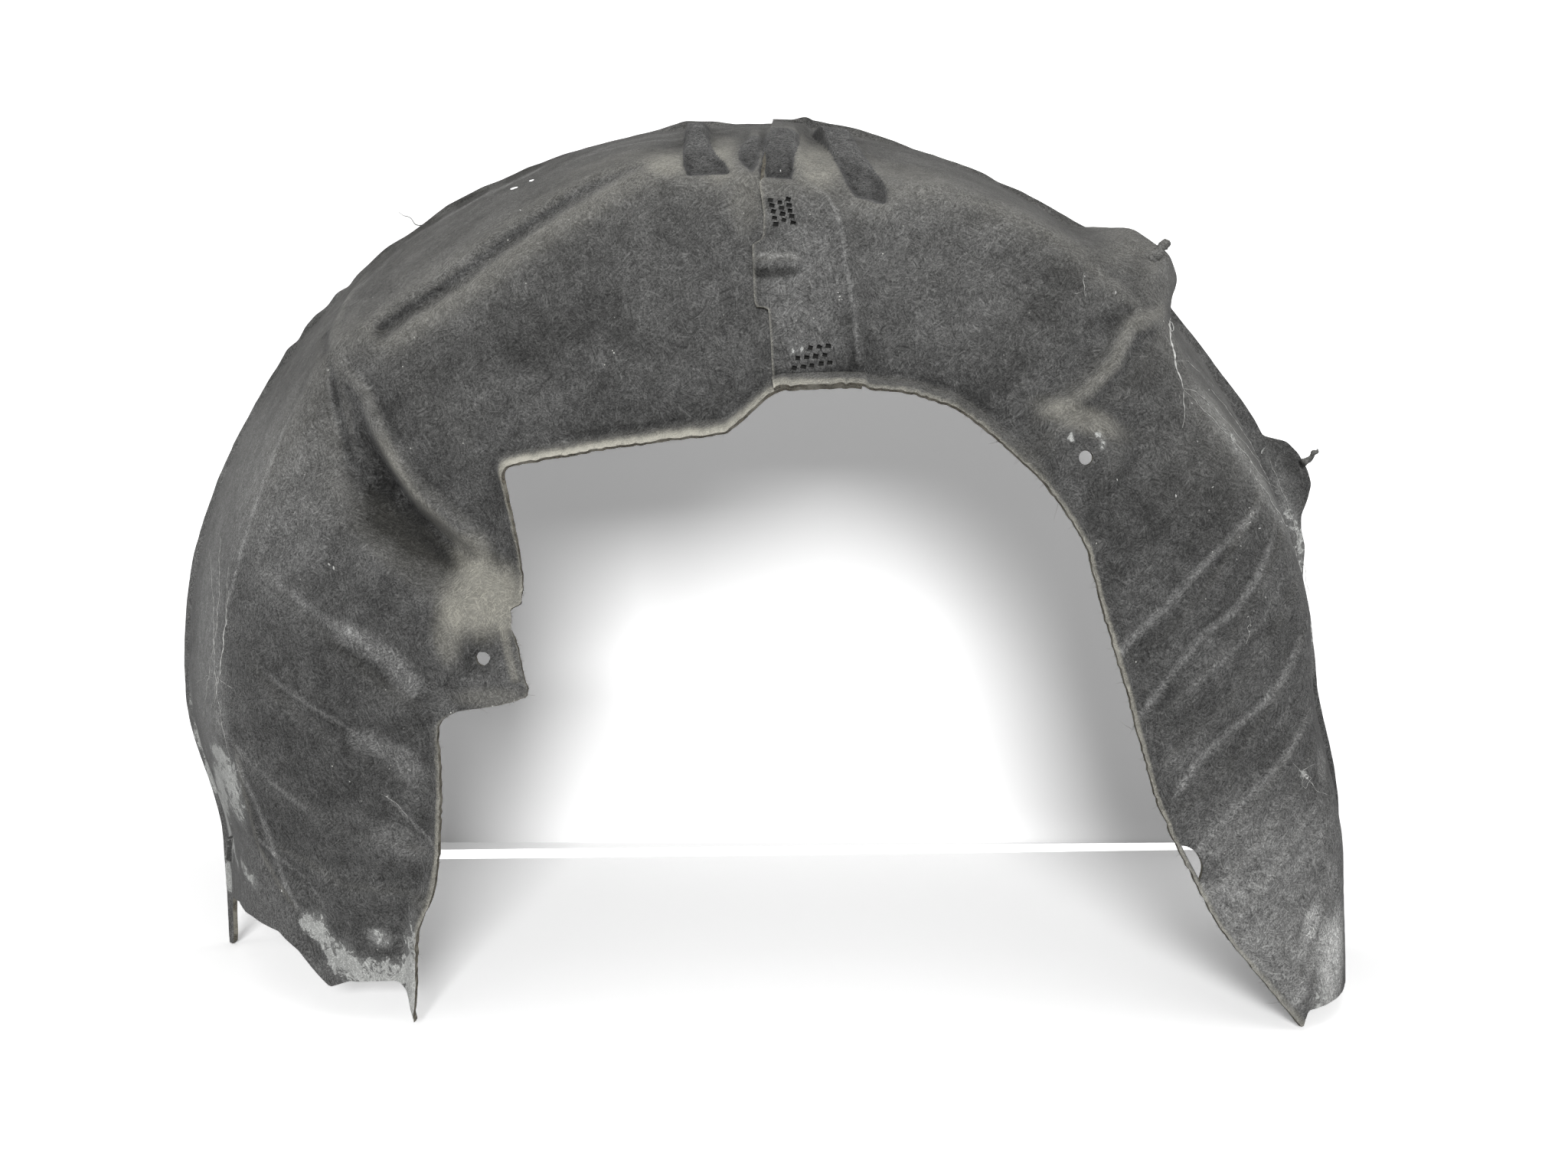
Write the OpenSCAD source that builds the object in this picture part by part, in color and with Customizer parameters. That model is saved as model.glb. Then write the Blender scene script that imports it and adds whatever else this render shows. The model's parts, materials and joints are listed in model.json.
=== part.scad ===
// Rear wheel arch liner: two moulded felt shells, lapped and spot welded at the crown.
// The wheel turns on the Y axis. -Y is the side that faces the body, +Y the fender side.

/* [Arch] */
// Radius of the fender side edge about the arch centre
edge_r = 421; // [400:1:440]
// Height of the arch centre above the feet
centre_h = 192; // [150:1:230]
// Depth from the body side wall to the fender side edge
depth = 130; // [110:1:170]
// Thickness of the moulded felt
felt_t = 3; // [2:0.1:4]

/* [Fender side band] */
// Radial width of the flange that turns out at the fender side edge
flange_w = 5; // [3:0.5:8]
// How far the left leg leans in at its foot
left_taper = 20; // [0:1:30]
// How far the right leg spreads at its foot
right_flare = 27; // [0:1:34]
// Extra reach of the fixing ear on the fender edge of the right leg
ear_reach = 27; // [0:1:34]
// Extra reach of the scalloped tabs on the fender edge, upper left
tab_reach = 5; // [0:0.5:12]

/* [Opening] */
// Radius of the opening on its right side
opening_r = 249; // [240:1:258]
// Height of the opening's top edge above the arch centre, right of the weld
top_edge_h = 222; // [214:1:230]
// Drop of that edge left of the weld
top_edge_drop = 28; // [14:1:36]
// Half width of the opening at the left corner
corner_x = 150; // [140:1:160]
// Height of the left corner above the arch centre
corner_h = 175; // [168:1:182]
// How far the fixing tab reaches into the opening from the left leg
tab_w = 56; // [46:1:60]

/* [Inner lip] */
// Width of the flared inner lip
lip_w = 9; // [6:0.5:12]
// How far the lip stands toward the body
lip_h = 9; // [4:0.5:14]

/* [Fixing holes] */
// Radius of the two fixing holes
hole_r = 4.4; // [3:0.1:6]
// Radius of the flat seat round each fixing hole
seat_r = 19; // [16:0.5:24]
// How far both seats stand in front of the side wall
seat_h = 10; // [6:0.5:14]
// Length of the cut-out beside the edge of the right leg
cut_len = 26; // [18:0.5:32]
// Width of that cut-out, which is a segment of a circle
cut_w = 7; // [4:0.5:9]

/* [Relief] */
// Depth of the long groove under the upper left shoulder
groove_d = 7; // [2:0.5:10]
// Depth of the pocket under the curved rib
pocket_d = 13; // [4:0.5:18]
// Height of the curved rib beside that pocket
crest_h = 3.5; // [1:0.5:6]
// Height of the slanting pleats on the right leg
pleat_h = 2.5; // [1:0.5:6]
// Height of the slanting waves on the left leg
wave_h = 4; // [1:0.5:7]
// Depth to which the crown ribs' faces are set
rib_y = 26; // [22:1:34]

/* [Weld] */
// Gap between the two shells where they lap
lap_gap = 0.4; // [0.3:0.05:0.8]

/* [Hidden] */

deg_len = edge_r * PI / 180;
left_end = 180 + centre_h / deg_len;
right_end = -centre_h / deg_len;
leg_x = 193;
tab_x = leg_x - tab_w;

// Inner edge: station in degrees round the arch, then x and z from the arch centre.
// Past 0 and 180 degrees the stations run on down the legs.
inner_edge = concat(
    [
        [right_end, 366, -centre_h],
        [right_end * 0.79, 332, -centre_h * 0.79],
        [right_end * 0.63, 307, -centre_h * 0.63],
        [right_end * 0.32, 275, -centre_h * 0.32],
        [right_end * 0.19, 264, -centre_h * 0.19],
        [9, 242, 38],
        [20, 227, 83]
    ],
    [for (a = [30:4:58]) [a, opening_r * cos(a), opening_r * sin(a)]],
    [
        [65, 103, top_edge_h - 2],
        [73, 68, top_edge_h + 1],
        [84, 23, top_edge_h - 1],
        [85.5, 17, top_edge_h - 4],
        [92, -7, top_edge_h - top_edge_drop + 2],
        [94, -14, top_edge_h - top_edge_drop],
        [113, -80, top_edge_h - top_edge_drop - 8],
        [129, -corner_x + 8, corner_h],
        [131, -corner_x, corner_h - 4],
        [133, -corner_x + 1, corner_h - 14],
        [139, -corner_x + 7, 130],
        [145, -corner_x + 11, 99],
        [148.5, -tab_x - 2, 88],
        [149.5, -tab_x - 9, 84],
        [152, -tab_x - 8, 74],
        [157, -tab_x - 4, 60],
        [163, -tab_x - 1, 45],
        [168, -tab_x + 2, 33],
        [169.5, -tab_x + 1, 28],
        [173, -tab_x - 15, 23],
        [176, -tab_x - 37, 18],
        [177, -tab_x - 44, 22],
        [179, -leg_x + 4, 17],
        [181, -leg_x - 1, 8],
        [left_end - 20, -leg_x, -centre_h * 0.20],
        [left_end - 13.5, -leg_x - 3, -centre_h * 0.45],
        [left_end - 11, -leg_x - 8, -centre_h * 0.56],
        [left_end - 8.5, -leg_x - 18, -centre_h * 0.66],
        [left_end - 3, -leg_x - 20, -centre_h * 0.88],
        [left_end, -leg_x - 22, -centre_h]
    ]);
edge_x = [for (p = inner_edge) [p[0], p[1]]];
edge_z = [for (p = inner_edge) [p[0], p[2]]];

// Width of the band between the fender side edge and the fold, by station
fold_w_at = [[-27, 33], [-12, 42], [0, 46], [12, 40], [27, 46], [38, 54], [45, 42], [57, 44], [70, 50],
    [75, 62], [96, 62], [100, 54], [105, 58], [112, 66], [121, 72], [130, 72], [135, 60],
    [141, 66], [150, 70], [173, 72], [207, 60]];
// Depth of the side wall at the inner edge and at the fold, by station
wall_in_y = [[-27, -9], [43, -seat_h], [48, 0], [132, 0], [140, 4], [146, 3], [153, -seat_h],
    [178, -seat_h], [183, -4], [207, -3]];
wall_out_y = [[-27, 32], [0, 24], [40, 20], [60, 15], [130, 14], [150, 22], [180, 30], [207, 38]];
// Share of the full lip height, by station
lip_at = [[-27, 0.2], [30, 0.3], [46, 0.5], [52, 1], [128, 1], [134, 0.35], [148, 0.2],
    [153, 0], [178, 0], [183, 0.5], [207, 0.8]];
// Reach of the fender edge beyond its plain radius, by station
flange_at = [[-27, 3], [17.5, 3], [18.5, 0.35 * ear_reach], [19.6, 0.7 * ear_reach],
    [21, 0.95 * ear_reach], [22.5, ear_reach], [24.3, 0.92 * ear_reach], [25.8, 0.7 * ear_reach],
    [26.6, 0.3 * ear_reach], [27, 3], [56, 1], [108, -3], [110, 0], [113.5, 0], [115, -4],
    [117, 0], [123.5, 0], [126, -3], [132.5, -3], [134, tab_reach * 0.6], [137, tab_reach],
    [138.5, tab_reach * 0.4], [140.5, tab_reach], [143.5, tab_reach * 0.6], [145, -2],
    [170, 1], [207, 0]];
// Height of the left foot's edge above the floor, by distance from the inner edge
left_foot = [[0, 0], [3, 20], [12, 28], [60, 26], [70, 24], [84, 38], [94, 47], [100, 54],
    [128, 60], [150, 62], [166, 56], [175, 48], [181, 0], [200, 0]];
foot_fade = 140;

// Free edge of the right shell and hidden edge of the left shell, angle by radius
seam_at = [[215, 84.1], [237, 85.2], [261, 85.9], [273, 86.4], [281, 88.3], [314, 88.7],
    [322, 87.4], [330, 87.5], [347, 88.0667], [370, 88.0667], [379, 87.4], [440, 87.4]];
hidden_at = [[215, 71], [244, 72.6], [275, 75.2], [297, 77.1], [313, 78.1], [330, 79.3],
    [338, 80.1], [346, 81.8], [354, 84.4], [356, 84.7333], [440, 84.7333]];

// Degrees over which the right shell comes down beside the hidden edge, by radius
ramp_at = [[215, 3], [350, 3], [357, 1.6]];

// Crown ribs: angle at the silhouette, lean in degrees per mm, half width in degrees, reach
ribs = [[94.4, 0.01, 1.8, 1], [89.4, 0, 1.1, 0.6], [86.4, 0, 1.8, 0.9], [82.6, 0.13, 2, 1]];
rib_foot = 64;
rib_lean = 0.95;
// Distance of the ribs' heads from the fender edge, by angle
rib_top_at = [[83.9, 17], [84.4, 27], [90.6, 27], [91.1, 17]];
// Station at which the crown's close rows end
crown_end = 97;
// Lobe of the side wall that stands beyond the shoulder, upper right
lobe_at = [[43, 0], [45.6, 0.75], [48, 1], [52, 0.9], [55.5, 0.15], [57, 0]];
lobe_y = 24;
lobe_rise = 0.75;
lobe_r = 12;

// Slanting pleats: angle at the fold, radius there, lean in degrees per mm
pleats = [[26, 370, 0.118], [20.5, 371, 0.155], [15.5, 372, 0.17], [10.6, 374, 0.215],
    [3, 376, 0.24], [-2.5, 374, 0.27], [-6.5, 380, 0.32]];
waves = [[160.5, 321, 0.10], [170, 332, 0.135], [184, 320, 0.14], [194, 330, 0.14]];
groove_at = [[95, 378], [96, 377], [100, 371], [105, 361], [112, 351], [121, 342], [126, 343],
    [132, 347]];
rib_curve = [[190, 144.2], [207, 144], [257, 143], [302, 140], [348, 135.8]];

// Fixing holes: the tab's lies tab_inset beside the leg's edge, the pad's pad_inset past the opening
tab_inset = 30;
pad_inset = 30;
pad_turn = 39.9;
tab_hole = [-leg_x + tab_inset, 53];
pad_hole = (opening_r + pad_inset) * [cos(pad_turn), sin(pad_turn)];
// Station beside which the cut-out lies, the strip between it and the edge, and its tilt
cut_station = right_end * 0.415;
cut_strip = 2.6;
cut_turn = 28;
cut_r = (cut_len * cut_len / 4 + cut_w * cut_w) / (2 * cut_w);

// Distances of the columns: from the inner edge, across the wall, and round the shoulder
lip_cols = [0, 0.5, 1, 1.7];
wall_n = 8;
shoulder_cols = [1.24, 1.10, 0.98, 0.84, 0.66, 0.5, 0.36, 0.22];
cols = len(lip_cols) + wall_n + len(shoulder_cols) + 1;

function smooth(a, b, v) =
    let (t = max(0, min(1, (v - a) / (b - a)))) t * t * (3 - 2 * t);
function mix(a, b, t) = a + (b - a) * t;
// Greater of two depths with the corner between them rounded over k
function round_max(a, b, k) = (a + b + sqrt((a - b) * (a - b) + k * k)) / 2;

// Point on the fender side edge line, from the arch centre
function outer(s) =
    let (z = s > 180 ? -(s - 180) * deg_len : s < 0 ? s * deg_len : edge_r * sin(s),
         x = edge_r * cos(max(0, min(180, s))))
    [s > 90 ? x + left_taper * smooth(0, -110, z) : x + right_flare * smooth(50, -100, z), z];
function inner(s) = [lookup(s, edge_x), lookup(s, edge_z)];

// Distance of column c from the fender edge line, measured along a row of length len
function reach(s, c, len) =
    let (w = lookup(s, fold_w_at), k = min(1, (len - 2.6 * lip_w) / (w * 1.24)),
         first = len - lip_cols[3] * lip_w, last = shoulder_cols[0] * w * k)
    c < len(lip_cols) ? len - lip_cols[c] * lip_w
    : c < len(lip_cols) + wall_n ?
        mix(first, last, (c - len(lip_cols) + 1) / (wall_n + 1))
    : c < cols - 1 ? shoulder_cols[c - len(lip_cols) - wall_n] * w * k
    : c == cols - 1 ? flange_w : 0;

// A step that rises quickly past an edge and sinks back slowly; d is in mm past the edge
function shingle(d, rise, fall) = smooth(0, rise, d) * (1 - smooth(rise, fall, d));

function pleat(a, r) =
    pleat_h * smooth(255, 280, r) * (1 - smooth(372, 392, r))
    * max([for (p = pleats) shingle((p[0] - p[2] * (p[1] - r) - a) * r * PI / 180, 9, 32)]);
function wave(a, r) =
    wave_h * smooth(205, 225, r) * (1 - smooth(320, 345, r))
    * max([for (p = waves) shingle((a - p[0] - p[2] * (p[1] - r)) * r * PI / 180, 14, 46)]);
function pocket(a, r) =
    let (d = (a - lookup(r, rib_curve)) * r * PI / 180)
    (pocket_d * smooth(0, 12, d) * (1 - smooth(20, 52, d))
        - crest_h * smooth(-16, -2, d) * (1 - smooth(0, 9, d)))
    * smooth(195, 225, r) * (1 - smooth(270, 330, r));
function groove(a, r) =
    let (d = abs(r - lookup(a, groove_at)))
    groove_d * (1 - smooth(1, 12, d)) * smooth(94, 97, a) * (1 - smooth(131, 133, a))
    + 0.5 * groove_d * (1 - smooth(2, 8, abs(r - 384))) * smooth(56, 60, a)
        * (1 - smooth(76, 81, a));
function rib(a, e) =
    max([for (p = ribs) p[3] * (1 - smooth(p[2] * 0.45, p[2] * 1.45,
        abs(a - p[0] + p[1] * (e - flange_w))))]) * (1 - smooth(rib_foot, rib_foot + 5, e));
function seat(p, q) = 1 - smooth(seat_r, seat_r * 1.6, norm(p - q));

// Depth of the surface at distance e from the fender edge line on row s
function surface_y(s, e, len, p) =
    let (w = lookup(s, fold_w_at) * min(1, (len - 2.6 * lip_w) / (lookup(s, fold_w_at) * 1.24)),
         f = max(0, (len - e) / (len - w)),
         in_y = lookup(s, wall_in_y), out_y = lookup(s, wall_out_y),
         a = (atan2(p[1], p[0]) + 450) % 360 - 90, r = norm(p),
         wall = mix(in_y, out_y, min(f, 1.3) * min(f, 1.3))
            - lip_h * lookup(s, lip_at) * (1 - smooth(0, lip_w, len - e))
            - pleat(a, r) - wave(a, r) + pocket(a, r) + groove(a, r),
         seated = mix(wall, -seat_h, max(seat(p, tab_hole), seat(p, pad_hole))),
         v = (w - e) / (w - flange_w),
         band = out_y + (depth - felt_t - out_y) * sign(v) * pow(abs(v), 1.12),
         plain = round_max(seated, band, 8),
         top = lookup(a, rib_top_at),
         rib_wall = rib_y + rib_lean * (rib_foot - e),
         rib_head = rib_y + rib_lean * (rib_foot - top),
         rib_band = mix(rib_head, depth - felt_t, (top - e) / (top - flange_w)),
         ribbed = round_max(rib_wall, rib_band, 9),
         lobe_w = lookup(s, lobe_at),
         lobe_face = lobe_y + lobe_rise * (w - e))
    e <= flange_w + 0.01 ? mix(depth - felt_t, depth, (flange_w - e) / flange_w)
    : mix(mix(plain, ribbed, rib(a, e)), lobe_face,
        lobe_w * (1 - smooth(w, w + 12, e)));

// Point of the outer face at station s, column c
function place(s, c) =
    let (i = inner(s), o = outer(s), len = norm(o - i), u = (o - i) / len,
         e = reach(s, c, len), p = o - u * e,
         y = surface_y(s, e, len, p),
         tip = c == cols ? lookup(s, flange_at) : 0,
         q = p + u * (tip + lobe_r * lookup(s, lobe_at) * smooth(60, 20, e)),
         low = s > 180 ? lookup(len - e, left_foot) : 0,
         z = q[1] + low * (1 - smooth(0, foot_fade, q[1] + centre_h)))
    [q[0], y, z];

// Outward normal by small steps along the row and along the column
function face_normal(s, c) =
    let (a = place(s - 0.3, c), b = place(s + 0.3, c),
         d = place(s, max(0, c - 1)), f = place(s, min(cols, c + 1)),
         n = cross(f - d, b - a))
    n / norm(n);
function shell_point(s, c, lift, side) = place(s, c) + face_normal(s, c) * (lift - side * felt_t);

// Stations shared by both shells, closer together where the relief is fine
stations = concat(
    [for (k = [0:24]) mix(right_end, 4, k / 25)],
    [for (s = [4:1.3:27]) s],
    [27.2, 29, 31, 34, 37, 40, 42, 43.5, 45, 46.5, 48.5, 51, 54, 56, 58.5, 62, 66, 70],
    [for (s = [72:1.2:79]) s],
    [for (s = [79.4:2 / 3:crown_end]) s],
    [for (s = [99:2.4:129]) s],
    [131, 133],
    [for (s = [134.5:1.6:147]) s],
    [148.5, 149.5, 151, 153, 155.5, 158, 160.5, 163, 165.5, 168, 169.5, 171.5, 173.5, 176,
        177.5, 179, 181],
    [for (k = [1:14]) mix(181, left_end, k / 14)]);

// Radius of each column at the crown, where the shells lap
crown_r = [for (c = [0:cols]) norm([place(84, c)[0], place(84, c)[2]])];
seam = [for (r = crown_r) lookup(r, seam_at)];
hidden = [for (r = crown_r) lookup(r, hidden_at)];

left_rows = [for (s = stations) if (s > min(hidden)) s];
right_rows = [for (s = stations) if (s < max(seam)) s];
function left_station(s, c) = max(s, hidden[c]);
function right_station(s, c) = min(s, seam[c]);
// The right shell rides up over the left one and drops beside the hidden edge
function right_lift(s, c) =
    let (edge = min(hidden[c], hidden[max(0, c - 1)]), ramp = lookup(crown_r[c], ramp_at))
    (felt_t + lap_gap) * smooth(edge - ramp, edge - ramp / 2, s);

left_face = [for (side = [0, 1], s = left_rows, c = [0:cols])
    shell_point(left_station(s, c), c, 0, side)];
right_face = [for (side = [0, 1], s = right_rows, c = [0:cols])
    let (t = right_station(s, c)) shell_point(t, c, right_lift(t, c), side)];

every_point = concat(left_face, right_face);
low = [for (k = [0:2]) min([for (p = every_point) p[k]])];
high = [for (k = [0:2]) max([for (p = every_point) p[k]])];
shift = [-(low[0] + high[0]) / 2, -(low[1] + high[1]) / 2, -low[2]];

// Triangles of a closed sheet: two faces of rows by columns, and the rim between them.
// Past the crown the diagonals change side, since the relief slants the other way there.
function quad(a, b, c, d, turned = false) =
    turned ? [[a, d, b], [b, d, c]] : [[a, c, b], [a, d, c]];
function sheet(at) =
    let (rows = len(at), w = cols + 1, back = rows * w)
    concat(
        [for (i = [0:rows - 2], c = [0:cols - 1])
            each quad(i * w + c, i * w + c + 1, (i + 1) * w + c + 1, (i + 1) * w + c,
                at[i] > crown_end)],
        [for (i = [0:rows - 2], c = [0:cols - 1])
            each quad(back + i * w + c, back + (i + 1) * w + c, back + (i + 1) * w + c + 1,
                back + i * w + c + 1, at[i] > crown_end)],
        [for (i = [0:rows - 2])
            each quad(i * w, (i + 1) * w, back + (i + 1) * w, back + i * w)],
        [for (i = [0:rows - 2])
            each quad(i * w + cols, back + i * w + cols, back + (i + 1) * w + cols,
                (i + 1) * w + cols)],
        [for (c = [0:cols - 1])
            each quad(c, back + c, back + c + 1, c + 1)],
        [for (c = [0:cols - 1])
            let (k = (rows - 1) * w + c) each quad(k, k + 1, back + k + 1, back + k)]);
function solid_triangles(points, faces) =
    [for (f = faces) if (points[f[0]] != points[f[1]] && points[f[1]] != points[f[2]]
        && points[f[2]] != points[f[0]]) f];

module shell(points, at) {
    polyhedron(points, solid_triangles(points, sheet(at)), convexity = 12);
}

module hole(at, r) {
    translate([at[0], -seat_h - 20, at[1]])
        rotate([-90, 0, 0]) cylinder(r = r, h = 50, $fn = 32);
}

module cut_out() {
    edge = inner(cut_station);
    translate([edge[0] + cut_strip / cos(cut_turn), -40, edge[1]])
        rotate([0, -cut_turn, 0]) intersection() {
            translate([cut_w - cut_r, 0, 0]) rotate([-90, 0, 0])
                cylinder(r = cut_r, h = 90, $fn = 48);
            translate([0, -1, -cut_len]) cube([2 * cut_w, 92, 2 * cut_len]);
        }
}

module left_shell() {
    color("dimgray") translate(shift) difference() {
        shell(left_face, left_rows);
        hole(tab_hole, hole_r);
    }
}

module right_shell() {
    color("gray") translate(shift) difference() {
        shell(right_face, right_rows);
        hole(pad_hole, hole_r);
        cut_out();
    }
}

left_shell();
right_shell();
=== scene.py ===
"""Looks of a moulded felt wheel arch liner: two lapped shells, dust, threads and a plain stage.

Lengths inside the shape functions are millimetres from the arch centre: x to the right leg,
y from the body side to the fender side, z up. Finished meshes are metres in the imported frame.
"""
import json
import math

import bpy
import numpy as np
from bpy.props import FloatProperty, FloatVectorProperty, IntProperty, PointerProperty
from bpy.types import Operator, Panel, PropertyGroup
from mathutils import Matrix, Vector
from mathutils.bvhtree import BVHTree


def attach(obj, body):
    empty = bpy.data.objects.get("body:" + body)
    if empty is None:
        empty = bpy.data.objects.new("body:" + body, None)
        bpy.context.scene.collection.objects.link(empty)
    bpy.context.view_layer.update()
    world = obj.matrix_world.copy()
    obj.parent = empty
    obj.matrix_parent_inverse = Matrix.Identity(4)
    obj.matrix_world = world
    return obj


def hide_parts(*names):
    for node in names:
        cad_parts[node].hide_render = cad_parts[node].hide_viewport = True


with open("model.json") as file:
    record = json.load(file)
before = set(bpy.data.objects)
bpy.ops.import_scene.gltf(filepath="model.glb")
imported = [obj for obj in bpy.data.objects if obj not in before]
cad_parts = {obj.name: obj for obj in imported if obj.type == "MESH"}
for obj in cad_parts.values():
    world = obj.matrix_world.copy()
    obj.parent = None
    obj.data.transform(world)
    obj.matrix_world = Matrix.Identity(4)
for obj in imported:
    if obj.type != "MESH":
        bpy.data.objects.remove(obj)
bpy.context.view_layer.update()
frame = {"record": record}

bl_info = {
    "name": "Felt Arch Liner",
    "version": (1, 0, 0),
    "blender": (4, 5, 0),
    "location": "View3D > Sidebar > Arch Liner",
    "description": "Builds a moulded felt wheel arch liner with its dust, threads and stage",
    "category": "Object",
}

BODY = "root"           # the one body of the part

# Driving sizes, as in the part
EDGE_R = 421.0
CENTRE_H = 192.0
DEPTH = 130.0
FLANGE_W = 5.0
FLANGE_Y = DEPTH - 3
LEFT_TAPER = 20.0
RIGHT_FLARE = 27.0
EAR_REACH = 27.0
OPENING_R = 249.0
TOP_EDGE_H = 222.0
TOP_EDGE_DROP = 28.0
CORNER_X = 150.0
CORNER_H = 175.0
LIP_W = 9.0
LIP_H = 9.0
SEAT_R = 19.0
SEAT_H = 10.0
HOLE_R = 4.4
CUT_LEN = 26.0
CUT_W = 7.0
LEG_X = 193.0
TAB_X = 137.0
TAB_HOLE = (-163.0, 53.0)
PAD_HOLE = ((OPENING_R + 30) * math.cos(math.radians(39.9)),
            (OPENING_R + 30) * math.sin(math.radians(39.9)))
LAP_GAP = 0.4

DEG_LEN = EDGE_R * math.pi / 180
LEFT_END = 180 + CENTRE_H / DEG_LEN
RIGHT_END = -CENTRE_H / DEG_LEN

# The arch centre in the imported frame, from the record's own hole pattern
HOLES = next(m for m in frame["record"]["mounts"] if m["kind"] == "bolt_pattern")
CENTRE = np.array(HOLES["pos_m"]) * 1000 - np.array(
    [(TAB_HOLE[0] + PAD_HOLE[0]) / 2, -SEAT_H, (TAB_HOLE[1] + PAD_HOLE[1]) / 2])

# Inner edge: station in degrees round the arch, then x and z. Stations run on down the legs.
INNER_EDGE = (
    [(RIGHT_END, 366, -CENTRE_H), (RIGHT_END * 0.79, 332, -CENTRE_H * 0.79),
     (RIGHT_END * 0.63, 307, -CENTRE_H * 0.63), (RIGHT_END * 0.32, 275, -CENTRE_H * 0.32),
     (RIGHT_END * 0.19, 264, -CENTRE_H * 0.19), (9, 242, 38), (20, 227, 83)]
    + [(a, OPENING_R * math.cos(math.radians(a)), OPENING_R * math.sin(math.radians(a)))
       for a in range(30, 59, 4)]
    + [(65, 103, TOP_EDGE_H - 2), (73, 68, TOP_EDGE_H + 1), (84, 23, TOP_EDGE_H - 1),
       (85.5, 17, TOP_EDGE_H - 4), (92, -7, TOP_EDGE_H - TOP_EDGE_DROP + 2),
       (94, -14, TOP_EDGE_H - TOP_EDGE_DROP), (113, -80, TOP_EDGE_H - TOP_EDGE_DROP - 8),
       (129, -CORNER_X + 8, CORNER_H), (131, -CORNER_X, CORNER_H - 4),
       (133, -CORNER_X + 1, CORNER_H - 14), (139, -CORNER_X + 7, 130),
       (145, -CORNER_X + 11, 99), (148.5, -TAB_X - 2, 88), (149.5, -TAB_X - 9, 84),
       (152, -TAB_X - 8, 74), (157, -TAB_X - 4, 60), (163, -TAB_X - 1, 45),
       (168, -TAB_X + 2, 33), (169.5, -TAB_X + 1, 28), (173, -TAB_X - 15, 23),
       (176, -TAB_X - 37, 20), (177, -TAB_X - 44, 19), (179, -LEG_X + 4, 14),
       (181, -LEG_X - 1, 8), (LEFT_END - 20, -LEG_X, -CENTRE_H * 0.20),
       (LEFT_END - 13.5, -LEG_X - 3, -CENTRE_H * 0.45),
       (LEFT_END - 11, -LEG_X - 8, -CENTRE_H * 0.56),
       (LEFT_END - 8.5, -LEG_X - 18, -CENTRE_H * 0.66),
       (LEFT_END - 3, -LEG_X - 20, -CENTRE_H * 0.88), (LEFT_END, -LEG_X - 22, -CENTRE_H)])

# By station: band width, depth of the side wall at its two borders, share of the rolled lip,
# share of the ear's reach, how far the flange turns out, how far the band beside it spreads
FOLD_W_AT = [(-27, 33), (-12, 42), (0, 46), (12, 40), (27, 46), (38, 54), (45, 42), (57, 44),
             (70, 50), (75, 62), (96, 62), (100, 54), (105, 58), (112, 66), (121, 72), (130, 72),
             (135, 60), (141, 66), (150, 70), (173, 72), (207, 60)]
WALL_IN_Y = [(-27, -9), (43, -SEAT_H), (48, 0), (132, 0), (140, 4), (146, 3), (153, -SEAT_H),
             (178, -SEAT_H), (183, -4), (207, -3)]
WALL_OUT_Y = [(-27, 32), (0, 24), (40, 20), (60, 15), (130, 14), (150, 22), (180, 30), (207, 38)]
LIP_AT = [(-27, 0.2), (30, 0.3), (46, 0.5), (52, 1), (128, 1), (134, 0.35), (148, 0.2), (153, 0),
          (178, 0), (183, 0.5), (207, 0.8)]
EAR_AT = [(15.3, 0.34), (17, 0.35), (18.5, 0.47), (19.6, 0.72), (21, 0.97), (22.5, 1),
          (24.3, 0.93), (25.8, 0.75), (26.6, 0.46)]
FLANGE_AT = [(-27, 3), (1, 3), (4, 5.5), (8.5, 5.3), (10.5, 3.5), (12.3, 3), (13.8, 6),
             *[(a, share * EAR_REACH) for a, share in EAR_AT], (27.3, 6.5), (29, 6.5),
             (30.5, 5.5), (33, 3.5), (36, 1.5), (57, 1), (62, -0.7),
             (64.5, -2.5), (66, -1.5), (70, -2.4), (73.5, -3.2), (75, -1.7), (79, 1), (82, 1),
             (84, 2.4), (85.5, -1.8), (91, -3.8), (93, -1), (96, 1), (98.5, -2), (102, -4),
             (106.5, -3.4), (108, -3), (110.7, -3.5), (112, -2.2), (114.8, -3.2),
             (117.5, -1.3), (121, -0.6), (123.6, -2.6), (126, -3.4), (128, -1.7), (132, -1.9),
             (133.6, -3.5), (135, -0.7), (136.5, -2.3), (138, 0), (139.5, 0.3), (141, -1.5),
             (142.5, 1.1), (144, -0.2), (147, -0.9), (150, -1.1), (153, -0.3), (160, 0),
             (166.5, 1), (170, 0.5), (180, 0), (207, 0)]
SPREAD_AT = [(120, 0), (128, 2.5), (145, 2.5), (155, 3.5), (166, 5), (175, 4), (185, 2.5),
             (200, 0)]
# By distance from the inner edge: how far the rim of each foot lies over the floor
LEFT_FOOT = [(0, 0), (3, 20), (12, 28), (45, 26), (60, 20), (72, 30), (84, 42), (94, 48),
             (100, 52), (128, 56), (150, 54), (166, 46), (175, 42), (181, 0), (200, 0)]
RIGHT_FOOT = [(0, 0), (2, 0), (5, 10), (25, 11), (60, 10), (80, 7), (110, 0)]
FOOT_FADE = 140.0

# By radius: station of the right shell's free edge and of the left one's hidden edge
SEAM_AT = [(215, 84.1), (237, 85.2), (261, 85.9), (275.5, 86.4), (279, 88), (283, 88.3),
           (314, 88.7), (316.5, 87.5), (330, 87.5), (347, 88.1), (370, 88), (379, 87.4),
           (440, 87.4)]
HIDDEN_AT = [(215, 71), (244, 72.6), (275, 75.2), (297, 77.1), (313, 78.1), (330, 79.3),
             (338, 80.1), (346, 81.8), (354, 84.4), (356, 84.73), (440, 84.73)]
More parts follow.
